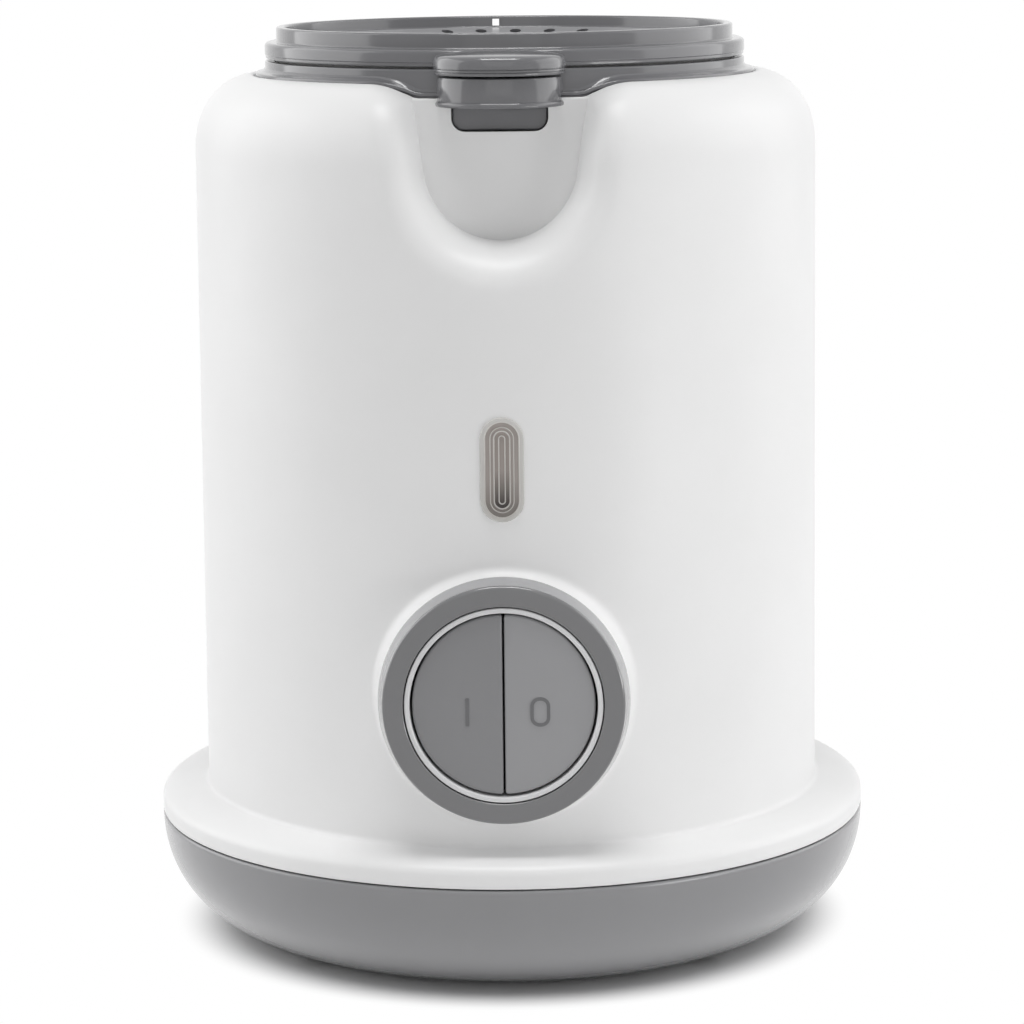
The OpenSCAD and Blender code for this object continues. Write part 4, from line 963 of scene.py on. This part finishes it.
basketForm = {
    "inR": 47.6, "outR": 49.4, "low": 83.0, "floor": 84.8, "corner": 5.5, "inCorner": 3.7,
    "collarR": 53.2, "collarIn": 51.2, "collarLow": 185.1, "collarTop": 196.0, "flareOut": 3.8, "flareIn": 3.0,
    "footR": 55.4, "footInScoop": 53.35, "footClear": 0.3, "footH": 0.9, "footRise": 1.0,
    "slots": 8, "slotW": 7.0, "slotLow": 99.0, "slotTop": 161.1, "slotY": (40, 54),
    "holes": 8, "holeR": 4.0, "holeRing": 29.5, "holeZ": (81, 87),
    "grip": {
        "w": 26.3, "reach": 65.0, "corner": 12.5, "back": 52.2, "low": 188.4, "top": 194.6,
        "rows": ((0, 0.0), (0.08, -0.28), (0.3, -0.42), (0.75, -0.42), (1.0, -0.25), (1.2, 0.0)),
        "crown": ((-0.5, 0.0), (-0.15, 0.15), (0, 0.5)),
    },
    "gripTrim": (56.5, 176, 190.5),  # radius, low and top of what is taken off its back
    "lugW": 19.8, "lugLow": 183.4, "lugTop": 193.0, "lugCorner": 2.4, "lugMid": 188.3,
    "lugRows": ((52.2, 1), (54.7, 1), (54.92, 0.985), (55.0, 0.96)),  # radius and size
}


def footRow(a):  # foot that sits on the well and comes down with it in the scoop
    bf = basketForm
    base, wall, inner = wellTop(a) + bf["footClear"], bf["collarR"], bf["collarIn"] + 1
    out = bf["footR"] - (bf["footR"] - bf["footInScoop"]) * (1 - scoopShare(a))
    flare, high = out - wall, base + bf["footH"]
    top = high + bf["footRise"]
    return spun([
        (inner, base), (out - 0.15, base), (out, base + 0.15), (out, high - 0.3), (out - 0.12, high - 0.1),
        (out - 0.3, high), (wall + 0.5 * flare, high + 0.15), (wall + 0.2 * flare, high + 0.45), (wall - 0.05, top),
        (inner, top)], a)


def buildBasket():
    bf = basketForm
    outR, inR, collarR, collarIn = bf["outR"], bf["inR"], bf["collarR"], bf["collarIn"]
    low, floor, collarLow, collarTop = bf["low"], bf["floor"], bf["collarLow"], bf["collarTop"]
    outline = soften([
        (0, low, 0), (outR, low, bf["corner"]), (outR, collarLow - bf["flareOut"], 0.6), (collarR, collarLow, 0.6),
        (collarR, collarTop, 0.5), (collarIn, collarTop, 0.5), (collarIn, collarLow + 0.8, 0.5),
        (inR, collarLow - bf["flareIn"], 0.6), (inR, floor, bf["inCorner"]), (0, floor, 0)], 6)
    made = finishMesh(lathe(outline, 224), "basket")
    mid, half = (bf["slotLow"] + bf["slotTop"]) / 2, (bf["slotTop"] - bf["slotLow"] - bf["slotW"]) / 2
    slot = pillLine(bf["slotW"] / 2, half)
    cuts = []
    for k in range(bf["slots"]):
        a = 2 * math.pi * (k + 0.5) / bf["slots"]
        cuts.append(loft([[(*turned(x, y, a), mid + z) for x, z in slot] for y in bf["slotY"]]))
    for a in fullTurn(bf["holes"]):
        x, y = bf["holeRing"] * math.cos(a), bf["holeRing"] * math.sin(a)
        cuts.append(rod(x, y, bf["holeR"], bf["holeZ"], 40, True))
    cutFrom(made, finishMesh(joinAll(cuts), "basketCutter"))
    grip = finishMesh(tongue(bf["grip"]), "grip")
    r, trimLow, trimTop = bf["gripTrim"]
    trim = lathe([(0, trimLow), (r, trimLow), (r, trimTop), (0, trimTop)], 128)
    cutFrom(grip, finishMesh(trim, "gripCutter"))
    line = tubLine(bf["lugW"] / 2, bf["lugLow"], bf["lugTop"], bf["lugCorner"])
    lugRings = [[(x * s, -math.sqrt(r * r - x * x), bf["lugMid"] + (z - bf["lugMid"]) * s) for x, z in line]
                for r, s in bf["lugRows"]]
    lug = finishMesh(loft(lugRings), "lug")
    rows = [footRow(a) for a in fullTurn(wellForm["steps"])]
    foot = finishMesh(loft(rows + rows[:1], False), "foot")
    return mergeInto(made, grip, lug, foot)


place(buildBasket(), "lift_basket", "grey_shell", ["lidGrey"], "lift_basket")
print("basket done")


# finishes of the pieces that keep their own shape

nodeFinish = {
    "rubberBlack": ("rubber_feet", "tank_seal", "cord_gland"), "sealPale": ("lid_seal",),
    "steel": ("base_screws", "clamp_screws", "board_screws", "fuse_clip"), "tankSteel": ("water_tank",),
    "castAlloy": ("heating_plate", "heater_clamp"), "elementSteel": ("heating_element",),
    "ceramic": ("thermostat", "thermal_fuse", "terminal_block"), "trimPale": ("indicator_lamp",),
    "darkPlastic": ("key_frame", "key_switches", "relay", "supply_capacitor", "lamp_holder"),
    "boardGreen": ("control_board", "lamp_board"),
}
for look, names in nodeFinish.items():
    for nodeName in names:
        nodes[nodeName].data.materials.clear()
        nodes[nodeName].data.materials.append(finishes[look])
print("carried-over nodes finished:", sum(len(names) for names in nodeFinish.values()))


# floor and lights in metres, then the camera

stageForm = {
    "floor": 6.0, "floorColour": (0.94, 0.94, 0.94, 1), "floorRough": 0.6, "ambient": 0.26, "fade": (0.064, 0.078),
    "boxes": {  # place, size, power
        "leftBox": ((-1.1, 0.15, 0.42), (1.3, 1.3), 7.9), "rightBox": ((1.1, 0.15, 0.42), (1.3, 1.3), 6.1),
        "topBox": ((0.0, -0.25, 1.3), (0.7, 0.35), 6.7), "frontFill": ((0.0, -1.7, 0.75), (1.2, 0.8), 1.1),
        "lowRight": ((0.55, -0.4, 0.05), (0.3, 0.08), 0.5),
    },
    "aim": (0, 0, 0.11),
}


def cameraSide(tree):  # 1 where a ray comes from the camera, a reflection or a refraction
    path = tree.nodes.new("ShaderNodeLightPath").outputs
    seen = combine(tree, "MAXIMUM", path["Is Camera Ray"], path["Is Glossy Ray"])
    return combine(tree, "MAXIMUM", seen, path["Is Transmission Ray"])


def buildWorld():
    world = bpy.data.worlds.new("studio")
    scene.world = world
    world.use_nodes = True
    tree = world.node_tree
    soft, white = tree.nodes["Background"], tree.nodes.new("ShaderNodeBackground")
    for light, strength in ((soft, stageForm["ambient"]), (white, 1)):
        light.inputs["Color"].default_value = (1, 1, 1, 1)
        light.inputs["Strength"].default_value = strength
    mixInto(tree, cameraSide(tree), soft, white, "World Output")


def buildFloor():  # keeps the shadow near the part and turns white away from it
    half = stageForm["floor"] / 2
    mesh = bpy.data.meshes.new("floor")
    mesh.from_pydata([(-half, -half, 0), (half, -half, 0), (half, half, 0), (-half, half, 0)], [], [(0, 1, 2, 3)])
    floor = bpy.data.objects.new("floor", mesh)
    scene.collection.objects.link(floor)
    mat, tree, paint, spot = startFinish("floorWhite")
    paint.inputs["Base Color"].default_value = stageForm["floorColour"]
    paint.inputs["Roughness"].default_value = stageForm["floorRough"]
    glow = tree.nodes.new("ShaderNodeEmission")
    glow.inputs["Strength"].default_value = 1
    far = tree.nodes.new("ShaderNodeVectorMath")
    far.operation = "LENGTH"
    tree.links.new(spot, far.inputs[0])
    fade = mapRange(tree, far.outputs["Value"], stageForm["fade"], (0, 1))
    fade.interpolation_type = "SMOOTHSTEP"
    share = combine(tree, "MULTIPLY", cameraSide(tree), fade.outputs["Result"])
    mixInto(tree, share, paint, glow, "Material Output")
    floor.data.materials.append(mat)


def buildLights():
    for name, (spotAt, size, power) in stageForm["boxes"].items():
        lamp = bpy.data.lights.new(name, "AREA")
        lamp.shape, lamp.size, lamp.size_y = "RECTANGLE", size[0], size[1]
        lamp.energy = power
        box = bpy.data.objects.new(name, lamp)
        box.location = spotAt
        box.rotation_euler = (Vector(stageForm["aim"]) - Vector(spotAt)).to_track_quat("-Z", "Y").to_euler()
        scene.collection.objects.link(box)


buildWorld()
buildFloor()
buildLights()

cameraForm = {  # focal length and frame in pixels, place in millimetres, angles in degrees
    "focal": 3571, "frame": 1024, "sensor": 36, "clip": (0.05, 20),
    "back": 800, "side": 0.62, "up": 233.9, "down": 9.979, "turn": 1.14, "roll": -0.59,
}


def buildCamera():
    cf = cameraForm
    data = bpy.data.cameras.new("camera")
    data.sensor_width = cf["sensor"]
    data.lens = cf["focal"] / cf["frame"] * cf["sensor"]
    data.clip_start, data.clip_end = cf["clip"]
    cam = bpy.data.objects.new("camera", data)
    turn = Matrix.Rotation(math.radians(cf["turn"]), 4, "Z")
    tilt = Matrix.Rotation(math.radians(90 - cf["down"]), 4, "X")
    roll = Matrix.Rotation(math.radians(cf["roll"]), 4, "Z")
    at = Matrix.Translation(Vector((cf["side"], -cf["back"], cf["up"])) * mm)
    cam.matrix_world = turn @ at @ tilt @ roll
    scene.collection.objects.link(cam)
    scene.camera = cam


buildCamera()
scene.view_settings.view_transform = "Standard"
print("stage and camera ready")
